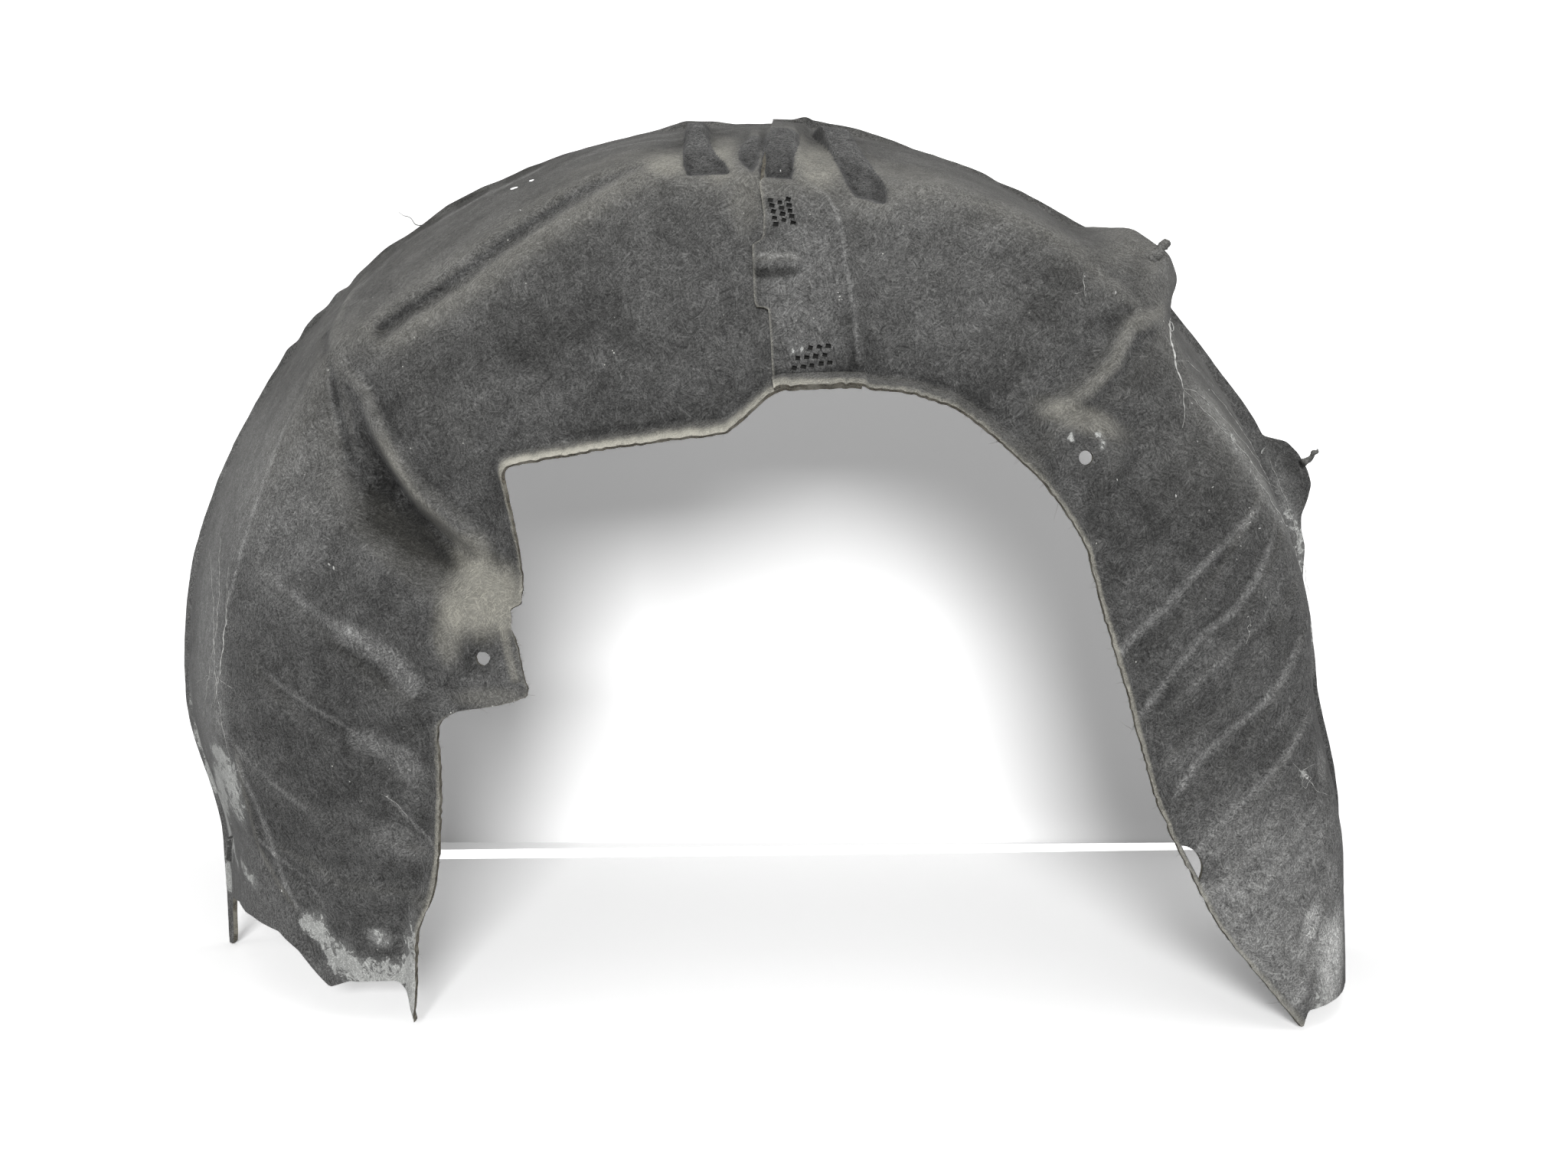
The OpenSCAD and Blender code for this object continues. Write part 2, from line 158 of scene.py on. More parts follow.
# Stations at which the shells' rows end at the crown, before they are drawn to those edges
# over LAP_BLEND degrees
LAP_END_LEFT = 78.0
LAP_END_RIGHT = 87.0
LAP_BLEND = 26.0
LAP_STATION = 84.0      # where the radii of the columns are taken for the lap
STRIP_Y = 40.0          # points of the crown in front of this depth lie on the side wall
# Ranges of stations with closer rows: first, last, how many times closer
CROWDED_LEFT = [(78, 98, 1.5), (131, 151, 1.3), (168, 182, 1.6)]
CROWDED_RIGHT = [(17, 28, 1.4), (40, 50, 1.3), (72, 88, 1.7)]

# Crown ribs: angles of the left and right side at the head, the same at the foot, then the
# distances of head and foot from the fender edge, how far the rib stands up, its flare and
# the bulge of its left side
RIBS = [
    (95.7, 93.6, 95.8, 91, 17, 62, 1, 2.2, 0), (89.5, 88.2, 89.3, 88.4, 30, 62, 0.8, 1, 0.9),
    (87.9, 85.1, 88.1, 84.2, 27, 68, 0.95, 1, 0), (83.1, 79.8, 78.7, 74.7, 17, 70, 1, 1, 0)]
# Their slanting face: depth at its foot, distance of the foot from the fender edge, slope
RIB_Y = 26.0
RIB_FOOT = 64.0
RIB_LEAN = 0.95
# Lobe of the right shoulder: its share by station, depth and slope of its face, its swell
LOBE_AT = [(43, 0), (45.6, 0.75), (48, 1), (52, 0.9), (55.5, 0.15), (57, 0)]
LOBE_Y = 24.0
LOBE_RISE = 0.75
LOBE_R = 5.5

# Relief of the side wall: heights and depths, then pleats and waves as angle, radius and slant
# in degrees for each millimetre, the groove's radius by angle, the curved rib's angle by radius
PLEAT_H = 1.6
WAVE_H = 2.2
GROOVE_D = 7.0
CREST_H = 3.5
POCKET_D = 13.0
PLEATS = [(26, 370, 0.118), (20.5, 371, 0.155), (15.5, 372, 0.17), (10.6, 374, 0.215),
          (3, 376, 0.24), (-2.5, 374, 0.27), (-6.5, 380, 0.32)]
WAVES = [(160.5, 321, 0.10), (170, 332, 0.135), (184, 320, 0.14), (194, 330, 0.14)]
GROOVE_AT = [(95, 378), (96, 377), (100, 371), (105, 361), (112, 351), (121, 342), (126, 343),
             (132, 347)]
RIB_CURVE = [(190, 144.2), (207, 144), (257, 143), (302, 140), (348, 135.8)]
# Cut-out of the right leg: its station, the width of the strip beside it, its turn
CUT_STATION = RIGHT_END * 0.415
CUT_STRIP = 2.6
CUT_TURN = 28.0

# Single ridges and creases: height over the wall, half width, then x, z of each point
CREASES = [
    (-1.6, 5, -272, 246, -262.3, 234.4, -252.9, 189.2, -251.3, 168),
    (-0.8, 4.5, -280.3, 241.5, -294.7, 207.9, -313, 171.1),
    (1.8, 7, -259.2, 242.1, -235.1, 214.2, -220.1, 171.2, -200, 140),
    (3, 8, -264.6, 312.1, -272, 296, -270, 270, -263, 250), (-2.5, 9, -282, 262, -268, 243),
    (3.4, 10, 276, 277, 265.6, 270.6, 245.4, 260.4, 232.9, 237.8, 215.4, 219.2, 197.1, 208.3,
     180, 200),
    (1.5, 5, -340, -8, -330, -83, -311, -108, -295, -123)]
# Half round rib on the strip: x, z of its two ends, its radius, its height
EMBOSS = [13.5, 296.6, 32.0, 297.0]
EMBOSS_R = 6.0
EMBOSS_H = 3.6
# Weld spots: x, z. Slots in the flange: x, z, two radii, turn, ragged share, then the depth
# at which they lie there, and their lean in x and z with depth.
WELDS = [
    (18.6, 337.8), (19.5, 334.5), (20.4, 330.7), (21.1, 326.7), (21.9, 322.7), (24.4, 336.4),
    (25.4, 332.9), (26.1, 329.1), (26.9, 325.3), (29.5, 338.3), (30.1, 334.6), (30.7, 331),
    (31.8, 327.7), (32.7, 323.5), (43.3, 246.6), (48.9, 247.1), (54.4, 247.7), (35.5, 240.2),
    (41, 240.7), (46.6, 241.4), (52.2, 242.2), (33.3, 234.2), (39, 235), (44.2, 235.8),
    (50, 236.9), (55.4, 237.5)]
FLANGE_SLOTS = [(-165.1, 370.3, 2.8, 0.55, 16, 0.05), (-152.8, 375.5, 1.9, 0.5, 18, 0.05)]
SLOT_Y = 118.0
SLOT_LEAN = (-0.225, 0.23)
# Depths from which and to which the holes, the cut-out and the slots are cut
HOLE_DEPTHS = (-40, 20)
CUT_OUT_DEPTHS = (-40, 60)
SLOT_DEPTHS = (60, 140)
PIT_R = (1.6, 1.25)     # half sizes of a weld pit
PIT_D = 1.9             # how deep a weld pit is pressed

# Reach of the lip's columns and room for them, in lip widths, and that of the fold's, in folds
LIP_REACH = 1.7
LIP_ROOM = 2.6
FOLD_REACH = 1.24
# Columns of the mesh across the lip, the side wall, the tapering band and the flange
LIP_COLS = 9
WALL_COLS = 46
BAND_COLS = 44
FLANGE_COLS = 3
COLS = LIP_COLS + WALL_COLS + BAND_COLS + FLANGE_COLS + 1
MEAN_R = 350            # radius at which the distance between rows is measured
SHARP_DEG = 50          # edges are sharp from this angle on

# Ripple of the felt: height, cell and seed of each noise
RIPPLE = [(0.45, 23.0, 3), (0.3, 11.0, 4), (0.15, 5.0, 5)]
STROKE = (9.0, 0.8)     # length and width of a fibre
BUMP_M = 0.0006         # reach of the bump, in metres
BACK_MARKS = 0.3        # share of the marks on the wheel side
LINT = (0.62, 0.62, 0.58, 1)
THREAD_COLOUR = (0.62, 0.62, 0.6)
THREAD_STEP = 2.2       # length of a thread's pieces
THREAD_LIFT = 0.35      # how far a thread lies over the felt
THREAD_SEED = 7
FIBRE_SEED = 11
PROBE_Y = -90.0         # depth from which the felt is looked for
MISS_Y = 128.0          # depth that is taken where no felt is found
FIBRE_COLOUR = (0.16, 0.15, 0.125)

# Where the photograph was taken from, and where its wall stood
CAMERA_AT = np.array([27.0, -735.0, 174.0])
CAMERA_PITCH = 6.0
CAMERA_FOCAL_PX = 1520.0
IMAGE_W = 2048
SENSOR_MM = 36.0
WALL_BEHIND = 372.0

# The stage, in metres: its reach, its whites for bounced light and for the camera, the bright
# strip at the wall's foot as x, y from the arch centre and its height over the floor, and the
# lamps as name, size, power, place and target
STAGE_REACH = 6.0
FLOOR_WHITE = (0.5, 1.82)
WALL_WHITE = (0.5, 1.6)
FOOT_WHITE = (0.8, 5.0)
FOOT_Z = 0.0004
WALL_FOOT = [(-0.45, 0.317), (0.45, 0.35), (0.45, 0.3719), (-0.45, 0.345)]
LAMPS = [("key_lamp", 0.9, 56, (0.05, -2.6, 1.15), (0, 0.1, 0.3)),
         ("top_lamp", 1.6, 5, (0.0, -0.3, 2.3), (0, 0.05, 0.3)),
         ("left_lamp", 1.4, 3.5, (-2.2, -0.5, 1.0), (0, 0, 0.3)),
         ("right_lamp", 1.4, 3.5, (2.2, -0.5, 1.0), (0, 0, 0.3))]
WORLD_LIGHT = 0.2


def smooth(a, b, v):
    """Ease from 0 at a to 1 at b: t squared times (3 - 2t)."""
    t = np.clip((v - a) / (b - a), 0.0, 1.0)
    return t * t * (3 - 2 * t)


def fade(a, b, v):
    """Ease from 1 at a to 0 at b."""
    return 1 - smooth(a, b, v)


def window(a, b, c, d, v):
    """1 from b to c, easing to 0 at a and at d."""
    return smooth(a, b, v) * fade(c, d, v)


def polar(x, z):
    """Angle from -90 to 270 degrees and radius about the arch centre."""
    return (np.degrees(np.arctan2(z, x)) + 450) % 360 - 90, np.hypot(x, z)


def mix(a, b, t):
    """Go in a straight line from a to b."""
    return a + (b - a) * t


def table(rows, v, blur=0.0, column=1):
    """Look v up between a table's rows; blur rounds its corners by averaging over +-blur."""
    keys = [r[0] for r in rows]
    values = [r[column] for r in rows]
    if blur == 0:
        return np.interp(v, keys, values)
    steps = np.linspace(-1, 1, 7)
    return sum(np.interp(v + blur * k, keys, values) for k in steps) / len(steps)


def line_distance(x, z, points):
    """Distance in the x-z plane to a line of points, and the share of its length there."""
    points = np.array(points, float).reshape(-1, 2)
    sides = np.diff(points, axis=0)
    lengths = np.hypot(sides[:, 0], sides[:, 1])
    starts = np.concatenate([[0], np.cumsum(lengths)])
    near = np.full(np.shape(x), 1e9)
    share = np.zeros(np.shape(x))
    for point, side, length, start in zip(points, sides, lengths, starts):
        t = np.clip(((x - point[0]) * side[0] + (z - point[1]) * side[1]) / length ** 2, 0, 1)
        d = np.hypot(x - point[0] - t * side[0], z - point[1] - t * side[1])
        share = np.where(d < near, (start + t * length) / starts[-1], share)
        near = np.minimum(near, d)
    return near, share


def creases(x, z):
    """Height of the single ridges and creases: a rounded profile that fades at both ends."""
    total = 0
    for height, half, *points in CREASES:
        d, share = line_distance(x, z, points)
        ends = window(-0.02, 0.18, 0.82, 1.02, share)
        total = total + height * fade(0, half, d) * ends
    return total


def round_max(a, b, k):
    """Greater of two depths, with the corner between them rounded over k."""
    return (a + b + np.sqrt((a - b) ** 2 + k * k)) / 2


def outer_line(s):
    """Fender side edge line: an arc of EDGE_R, then straight legs that lean with height."""
    z = np.where(s > 180, -(s - 180) * DEG_LEN,
                 np.where(s < 0, s * DEG_LEN, EDGE_R * np.sin(np.radians(s))))
    x = EDGE_R * np.cos(np.radians(np.clip(s, 0, 180)))
    left = x + LEFT_TAPER * smooth(0, -110, z)
    right = x + RIGHT_FLARE * smooth(50, -100, z)
    return np.where(s > 90, left, right), z


def inner_line(s):
    """Inner edge line, with its corners rounded more outside the tab than on it."""
    near_tab = window(146.0, 147.5, 180, 183, s)
    wide = [table(INNER_EDGE, s, 0.9, c) for c in (1, 2)]
    fine = [table(INNER_EDGE, s, 0.35, c) for c in (1, 2)]
    return [mix(w, f, near_tab) for w, f in zip(wide, fine)]


def shingle(d, rise, fall):
    """A step that rises over the first rise millimetres and sinks back by fall."""
    return window(0, rise, rise, fall, d)


def pleats(a, r):
    """Slanting pleats of the right leg, each a shingle below its own slanting line."""
    height = np.max([shingle(np.radians(p[0] - p[2] * (p[1] - r) - a) * r, 7, 30)
                     for p in PLEATS], axis=0)
    return PLEAT_H * window(255, 280, 372, 392, r) * height


def waves(a, r):
    """Slanting waves of the left leg, each a broad shingle below its line."""
    height = np.max([shingle(np.radians(a - p[0] - p[2] * (p[1] - r)) * r, 14, 46)
                     for p in WAVES], axis=0)
    return WAVE_H * window(205, 225, 320, 345, r) * height


def pocket(a, r):
    """Hollow under the curved rib: deep beside the rib, back to the wall 52 mm further."""
    d = np.radians(a - table(RIB_CURVE, r, 6)) * r
    hollow = window(0, 12, 20, 52, d) * fade(270, 330, r)
    crest = window(-14, -3, -1, 8, d) * fade(300, 345, r)
    return (POCKET_D * hollow - CREST_H * crest) * smooth(195, 225, r)


def groove(a, r):
    """Long groove under the upper left shoulder, and its weak twin at the upper right."""
    left = fade(1, 11, np.abs(r - table(GROOVE_AT, a, 2)))
    left = left * window(94, 97, 131, 133, a)
    right = fade(2, 8, np.abs(r - 384)) * window(56, 60, 76, 81, a)
    return GROOVE_D * (left + 0.5 * right)


def rib_share(a, e, rib):
    """How far one crown rib stands up at angle a and distance e from the fender edge."""
    left_head, right_head, left_foot, right_foot, head, foot, reach, flare, bulge = rib
    down = np.clip((e - head) / (foot - head), 0, 1.2)
    left = mix(left_head, left_foot, down) + 4 * bulge * np.clip(down * (1 - down), 0, 1)
    right = mix(right_head, right_foot, down ** flare)
    round_end = 0.35 * smooth(foot - 7, foot, e)
    inside = (smooth(left - round_end + 0.4, left - round_end - 0.4, a)
              * smooth(right + round_end - 0.4, right + round_end + 0.4, a))
    return reach * inside * fade(foot, foot + 4, e)


def ribbed(body, a, e):
    """Crown ribs over a depth: a slanting face from the head down to the foot of each."""
    for rib in RIBS:
        face = RIB_Y + RIB_LEAN * (RIB_FOOT - e)
        top = RIB_Y + RIB_LEAN * (RIB_FOOT - rib[4])
        back = mix(top, FLANGE_Y, (rib[4] - e) / (rib[4] - FLANGE_W))
        body = mix(body, round_max(face, back, 5), rib_share(a, e, rib))
    return body


def seat(x, z, hole):
    """1 on the flat seat round a hole, easing to 0 beyond it."""
    return fade(SEAT_R, SEAT_R * 1.6, np.hypot(x - hole[0], z - hole[1]))


def surface_y(s, e, length, soft, w, x, z):
    """Depth of the outer face: side wall with its relief, rounded into the tapering band."""
    f = np.clip((soft - e) / (soft - w), 0, None)
    in_y = table(WALL_IN_Y, s, 1.5)
    out_y = table(WALL_OUT_Y, s, 4.0)
    a, r = polar(x, z)
    wall = mix(in_y, out_y, np.minimum(f, 1.3) ** 2)
    wall = wall - LIP_H * table(LIP_AT, s, 1.5) * fade(0, LIP_W, length - e)
    wall = wall - pleats(a, r) - waves(a, r) + pocket(a, r) + groove(a, r)
    on_seat = np.maximum(seat(x, z, TAB_HOLE), seat(x, z, PAD_HOLE))
    seated = mix(wall, -SEAT_H, on_seat)
    v = (w - e) / (w - FLANGE_W)
    band = out_y + (FLANGE_Y - out_y) * np.sign(v) * np.abs(v) ** 1.12
    plain = round_max(seated, band, 8)
    lobe_face = LOBE_Y + LOBE_RISE * (w - e)
    body = ribbed(plain - creases(x, z), a, e)
    body = mix(body, lobe_face, table(LOBE_AT, s, 0.5) * fade(w, w + 12, e))
    flange = mix(FLANGE_Y, DEPTH, (FLANGE_W - e) / FLANGE_W)
    return np.where(e <= FLANGE_W + 0.01, flange, body)


def column_reach(s, length, w):
    """Distance of every column from the fender edge line; all inputs are rows by columns."""
    c = np.arange(COLS)[None, :]
    first = length - LIP_REACH * LIP_W
    last = FOLD_REACH * w
    wall_at = (c - LIP_COLS) / WALL_COLS
    band_at = np.clip((c - LIP_COLS - WALL_COLS) / BAND_COLS, 0, 1)
    flange_at = (c - LIP_COLS - WALL_COLS - BAND_COLS) / FLANGE_COLS
    return np.where(
        c < LIP_COLS, length - LIP_REACH * LIP_W * c / LIP_COLS,
        np.where(wall_at < 1, mix(first, last, wall_at),
                 np.where(flange_at < 0, mix(last, FLANGE_W, band_at ** 0.9),
                          FLANGE_W * (1 - flange_at))))


def outer_face(s):
    """Outer face for a grid of stations: inner edge, side wall, shoulder, flange.

    Each row runs from the inner edge to the fender edge line; a column is a distance e from
    the latter, and the depth y is a function of the station and of e.
    """
    ix, iz = inner_line(s)
    ox, oz = outer_line(s)
    length = np.hypot(ox - ix, oz - iz)
    ux, uz = (ox - ix) / length, (oz - iz) / length
    fold = table(FOLD_W_AT, s, 2.0)
    w = fold * np.minimum(1, (length - LIP_ROOM * LIP_W) / (fold * FOLD_REACH))
    e = column_reach(s, length, w)
    x, z = ox - ux * e, oz - uz * e
    ragged = 0.7 * value_noise(np.stack([x, x * 0, z], axis=2), 3.1, 11) * smooth(5, 0, length - e)
    x, z = x + ux * ragged, z + uz * ragged
    soft = np.hypot(ox - table(INNER_EDGE, s, 4.0, 1), oz - table(INNER_EDGE, s, 4.0, 2))
    y = surface_y(s, e, length, soft, w, x, z)
    out = table(FLANGE_AT, s, 0.25) * smooth(FLANGE_W, 0, e)
    out = out + LOBE_R * table(LOBE_AT, s, 0.5) * smooth(60, 20, e)
    out = out + table(SPREAD_AT, s, 2.0) * smooth(70, 8, e)
    x, z = x + ux * out, z + uz * out
    foot = np.where(s > 90, table(LEFT_FOOT, length - e, 1.5) * (s > 180),
                    table(RIGHT_FOOT, length - e, 1.0) * (s < 0))
    foot_h = np.where(s > 90, FOOT_FADE, FOOT_FADE / 2)
    z = z + foot * fade(0, foot_h, z + CENTRE_H)
    return np.stack([x, y, z], axis=2)


def face_normals(p):
    """Unit normals of a grid of points, from the cross product of its two gradients."""
    n = np.cross(np.gradient(p, axis=1), np.gradient(p, axis=0))
    return n / np.maximum(np.linalg.norm(n, axis=2, keepdims=True), 1e-9)


def even_stations(first, last, step_mm, crowded):
    """Stations a given length apart, closer by the crowded ranges' factors."""
    fine = np.linspace(first, last, 4000)
    density = np.ones_like(fine)
    for a, b, factor in crowded:
        density = density + (factor - 1) * window(a - 2, a, b, b + 2, fine)
    run = np.concatenate([[0], np.cumsum(density[1:] * np.diff(fine))])
    count = int(run[-1] * MEAN_R * math.pi / 180 / step_mm) + 1
    return np.interp(np.linspace(0, run[-1], count), run, fine)


# Large numbers that scramble a corner of the noise's lattice into a random value
SCRAMBLE = (73856093, 19349663, 83492791, 2654435, 1274126177)


def value_noise(p, cell, seed):
    """Smooth noise from -1 to 1: random values on a lattice, eased between its corners."""
    q = p / cell
    base = np.floor(q).astype(int)
    f = q - base
    f = f * f * (3 - 2 * f)
    total = 0
    for corner in range(8):
        step = np.array([corner & 1, corner >> 1 & 1, corner >> 2 & 1])
        k = base + step
        h = k[..., 0] * SCRAMBLE[0] ^ k[..., 1] * SCRAMBLE[1] ^ k[..., 2] * SCRAMBLE[2]
        h = h ^ seed * SCRAMBLE[3]
        h = (h ^ h >> 13) * SCRAMBLE[4] & 0x7FFFFFFF
        h = (h ^ h >> 16) & 0xFFFF
        weight = np.prod(np.where(step == 1, f, 1 - f), axis=-1)
        total = total + weight * (h / 32767.5 - 1)
    return total


def closed_sheet(front, back):
    """Vertices and quads of a sheet with two faces and a rim all round."""
    rows, cols = front.shape[:2]
    index = np.arange(rows * cols).reshape(rows, cols)
    under = index + rows * cols

    def quads(a, b, c, d):
        return np.stack([d, c, b, a], axis=-1).reshape(-1, 4)

    faces = [
        quads(index[:-1, :-1], index[1:, :-1], index[1:, 1:], index[:-1, 1:]),
        quads(under[:-1, :-1], under[:-1, 1:], under[1:, 1:], under[1:, :-1]),
        quads(index[:-1, 0], under[:-1, 0], under[1:, 0], index[1:, 0]),
        quads(index[:-1, -1], index[1:, -1], under[1:, -1], under[:-1, -1]),
        quads(index[0, :-1], index[0, 1:], under[0, 1:], under[0, :-1]),
        quads(index[-1, :-1], under[-1, :-1], under[-1, 1:], index[-1, 1:])]
    points = np.concatenate([front.reshape(-1, 3), back.reshape(-1, 3)])
    return points, np.concatenate(faces).tolist()


def linked(name, data):
    """New object with the data, in the scene."""
    thing = bpy.data.objects.new(name, data)
    bpy.context.scene.collection.objects.link(thing)
    return thing


def new_mesh(name, points, faces):
    """Mesh object from millimetre points about the arch centre, at the origin, in metres."""
    mesh = bpy.data.meshes.new(name)
    mesh.from_pydata(((np.asarray(points) + CENTRE) / 1000).tolist(), [], faces)
    mesh.validate()
    mesh.update()
    return linked(name, mesh)


def crown_radii():
    """Radius of every column at the crown, where the shells lap."""
    probe = outer_face(np.full((1, COLS), LAP_STATION))[0]
    return np.hypot(probe[:, 0], probe[:, 2])


def lap_rows(first, last, crowded, end, edge):
    """Stations of a shell's rows, drawn out so that its end at the crown lies on an edge."""
    rows = even_stations(first, last, row_step(), crowded)[:, None]
    return rows + (edge - end) * np.clip(1 - np.abs(rows - end) / LAP_BLEND, 0, 1)


def left_rows():
    """Stations of the left shell, from the edge that the strip hides to the foot."""
    return lap_rows(LAP_END_LEFT, LEFT_END, CROWDED_LEFT, LAP_END_LEFT,
                    table(HIDDEN_AT, crown_radii(), 1.5))


def right_rows():
    """Stations of the right shell, from the foot to the seam."""
    return lap_rows(RIGHT_END, LAP_END_RIGHT, CROWDED_RIGHT, LAP_END_RIGHT,
                    table(SEAM_AT, crown_radii(), 0.5))


def right_lift(stations, p):
    """How far the right shell stands over the left one, with the half round rib on the strip."""
    edge = table(HIDDEN_AT, crown_radii(), 1.5)
    ride = (felt() + LAP_GAP) * smooth(edge - 1.3, edge - 0.3, stations)
    d = line_distance(p[..., 0], p[..., 2], EMBOSS)[0]
    swell = EMBOSS_H * np.sqrt(np.clip(1 - (d / EMBOSS_R) ** 2, 0, 1))
    for x, z in WELDS:
        low = np.hypot((p[..., 0] - x - 0.3) / 2.2, (p[..., 2] - z + 2.0) / 1.3)
        swell = swell + 0.7 * fade(0.2, 1.2, low)
    return ride + swell * (p[..., 1] < STRIP_Y)


def felt():
    """Felt thickness in millimetres."""
    return bpy.context.scene.liner_sizes.felt_t * 1000


def row_step():
    """Distance between rows in millimetres."""
    return bpy.context.scene.liner_sizes.row_step * 1000


def prism(outline, y0, y1, slot=1, lean=(0, 0), at=0):
    """Closed prism along Y over an outline of x, z points: points, faces, material slot.

    The outline lies at depth at, and moves by lean in x and z for each millimetre of depth.
    """
    count = len(outline)
    points = [(x + lean[0] * (y - at), y, z + lean[1] * (y - at))
              for y in (y0, y1) for x, z in outline]
    sides = [(count + k, count + (k + 1) % count, (k + 1) % count, k) for k in range(count)]
    return points, [list(range(count)), list(range(count, 2 * count))[::-1], *sides], slot


def turned(outline, x, z, degrees):
    """Outline of u, v points turned by degrees and moved to x, z."""
    c, q = math.cos(math.radians(degrees)), math.sin(math.radians(degrees))
    return [(x + u * c - v * q, z + u * q + v * c) for u, v in outline]


def ellipse(x, z, rx, rz, turn, ragged=0.0, count=28):
    """Outline of a turned ellipse whose radius wavers by the ragged share."""
    outline = []
    for k in range(count):
        t = 2 * math.pi * k / count
        waver = math.sin(3 * t + 0.7) + 0.6 * math.sin(7 * t) + 0.4 * math.sin(11 * t)
        waver = 1 + ragged * waver
        outline.append((rx * waver * math.cos(t), rz * waver * math.sin(t)))
    return turned(outline, x, z, turn)


def cut_away(piece, prisms):
    """Cut closed prisms out of a shell; the new faces take the prism's material slot."""
    points, faces, slots = [], [], []
    for more_points, more_faces, slot in prisms:
        slots += [slot] * len(more_faces)
        faces += [[len(points) + k for k in face] for face in more_faces]
        points += more_points
    cutter = new_mesh("cutter", np.array(points), faces)
    for material in piece.data.materials:
        cutter.data.materials.append(material)
    cutter.data.polygons.foreach_set("material_index", slots)
    boolean = piece.modifiers.new("cut", "BOOLEAN")
    boolean.operation = "DIFFERENCE"
    boolean.solver = "MANIFOLD"
    boolean.object = cutter
    evaluated = piece.evaluated_get(bpy.context.evaluated_depsgraph_get())
    cut = bpy.data.meshes.new_from_object(evaluated)
    cut.name = piece.name
    piece.modifiers.clear()
    piece.data = cut
    bpy.data.objects.remove(cutter)


def build_shell(name, node, stations, lift, prisms):
    """One felt shell: its outer face, the same face moved in by the felt, the rim, the cuts."""
    p = outer_face(stations)
    n = face_normals(p)
    ripple = sum(height * value_noise(p, cell, seed) for height, cell, seed in RIPPLE)
    front = p + n * (lift + ripple)[..., None]
    back = p + n * (lift + ripple - felt())[..., None]
    piece = new_mesh(name, *closed_sheet(front, back))
    finish = bpy.context.scene.liner_finish
    side = name.split("_")[0]
    for material in (felt_material("felt_" + side, finish), edge_material("edge_" + side, finish),
                     plain_material("pit_" + side, finish.pit, 0.3)):
        piece.data.materials.append(material)
    quads = (p.shape[0] - 1) * (p.shape[1] - 1)
    rim = len(piece.data.polygons) - 2 * quads
    piece.data.polygons.foreach_set("material_index", [0] * (2 * quads) + [1] * rim)
    for mark, values in marks(p, n, stations, node == "right_shell").items():
        paint(piece, mark, np.concatenate([values.ravel(), BACK_MARKS * values.ravel()]))
    cut_away(piece, prisms)
    piece.data.shade_smooth()
    piece.data.set_sharp_from_angle(angle=math.radians(SHARP_DEG))
    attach(piece, BODY)
    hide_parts(node)


def paint(piece, name, values):
    """Write one number for each point of a piece, which its material reads by name."""
    piece.data.attributes.new(name, "FLOAT", "POINT").data.foreach_set("value", values)


class Nodes:
    """Short hand for a node tree: most calls add a node and give back its output socket."""

    def __init__(self, tree):
        self.tree = tree

    def add(self, kind, inputs, output=0, **settings):
        """Add a node, set its properties, and link or set its inputs by name or number."""
        node = self.tree.nodes.new(kind)
        for key, value in settings.items():
            setattr(node, key, value)
        for key, value in inputs.items():
            if isinstance(value, bpy.types.NodeSocket):
                self.tree.links.new(value, node.inputs[key])
            else:
                node.inputs[key].default_value = value
        return node.outputs[output]

    def math(self, operation, *values):
        """Number from one or more numbers."""
        return self.add("ShaderNodeMath", dict(enumerate(values)), operation=operation)

    def ramp(self, value, low, high, to_low=0.0, to_high=1.0):
        """Ease from to_low to to_high while the value goes from low to high."""
        return self.add("ShaderNodeMapRange", {"Value": value, "From Min": low, "From Max": high,
                                               "To Min": to_low, "To Max": to_high},
                        interpolation_type="SMOOTHSTEP")

    def noise(self, vector, scale, detail=2.0, roughness=0.5, distortion=0.0, output=0):
        """Fractal noise from 0 to 1; output 1 gives it as a vector."""
        return self.add("ShaderNodeTexNoise", {"Vector": vector, "Scale": scale, "Detail": detail,
                                               "Roughness": roughness,
                                               "Distortion": distortion}, output)

    def millimetres(self):
        """Object coordinates in millimetres."""
        return self.add("ShaderNodeVectorMath", {0: self.add("ShaderNodeTexCoord", {}, output=3),
                                                 1: (1000, 1000, 1000)}, operation="MULTIPLY")

    def drifted(self, vector, scale, detail, reach):
        """Coordinates moved about by a noise of the given reach."""
        return self.add("ShaderNodeVectorMath", {
            0: self.noise(vector, scale, detail, output=1), 1: (reach, reach, reach),
            2: vector}, operation="MULTIPLY_ADD")

    def stretched(self, vector, turn, along, across):
        """Coordinates turned about Y, then divided by a length along and one across."""
        return self.add("ShaderNodeMapping", {"Vector": vector, "Rotation": (0.35, turn, 0.25),
                                              "Scale": (along, across, across)},
                        vector_type="TEXTURE")

    def blend(self, factor, a, b, kind="MIX"):
        """Colour between a and b, or a times b where the kind is MULTIPLY."""
        return self.add("ShaderNodeMix", {0: factor, "A": a, "B": b}, output=2,
                        data_type="RGBA", clamp_factor=True, blend_type=kind)

    def mark(self, name):
        """Number that is painted on the mesh's points."""
        return self.add("ShaderNodeAttribute", {}, output=2, attribute_name=name)

    def dress(self, shader, colour, strength=0.0, height=None):
        """Link a colour and, where a height is given, a bump to the shader."""
        self.tree.links.new(colour, shader.inputs["Base Color"])
        if height is not None:
            bump = self.add("ShaderNodeBump", {"Strength": strength, "Distance": BUMP_M,
                                               "Height": height})
            self.tree.links.new(bump, shader.inputs["Normal"])


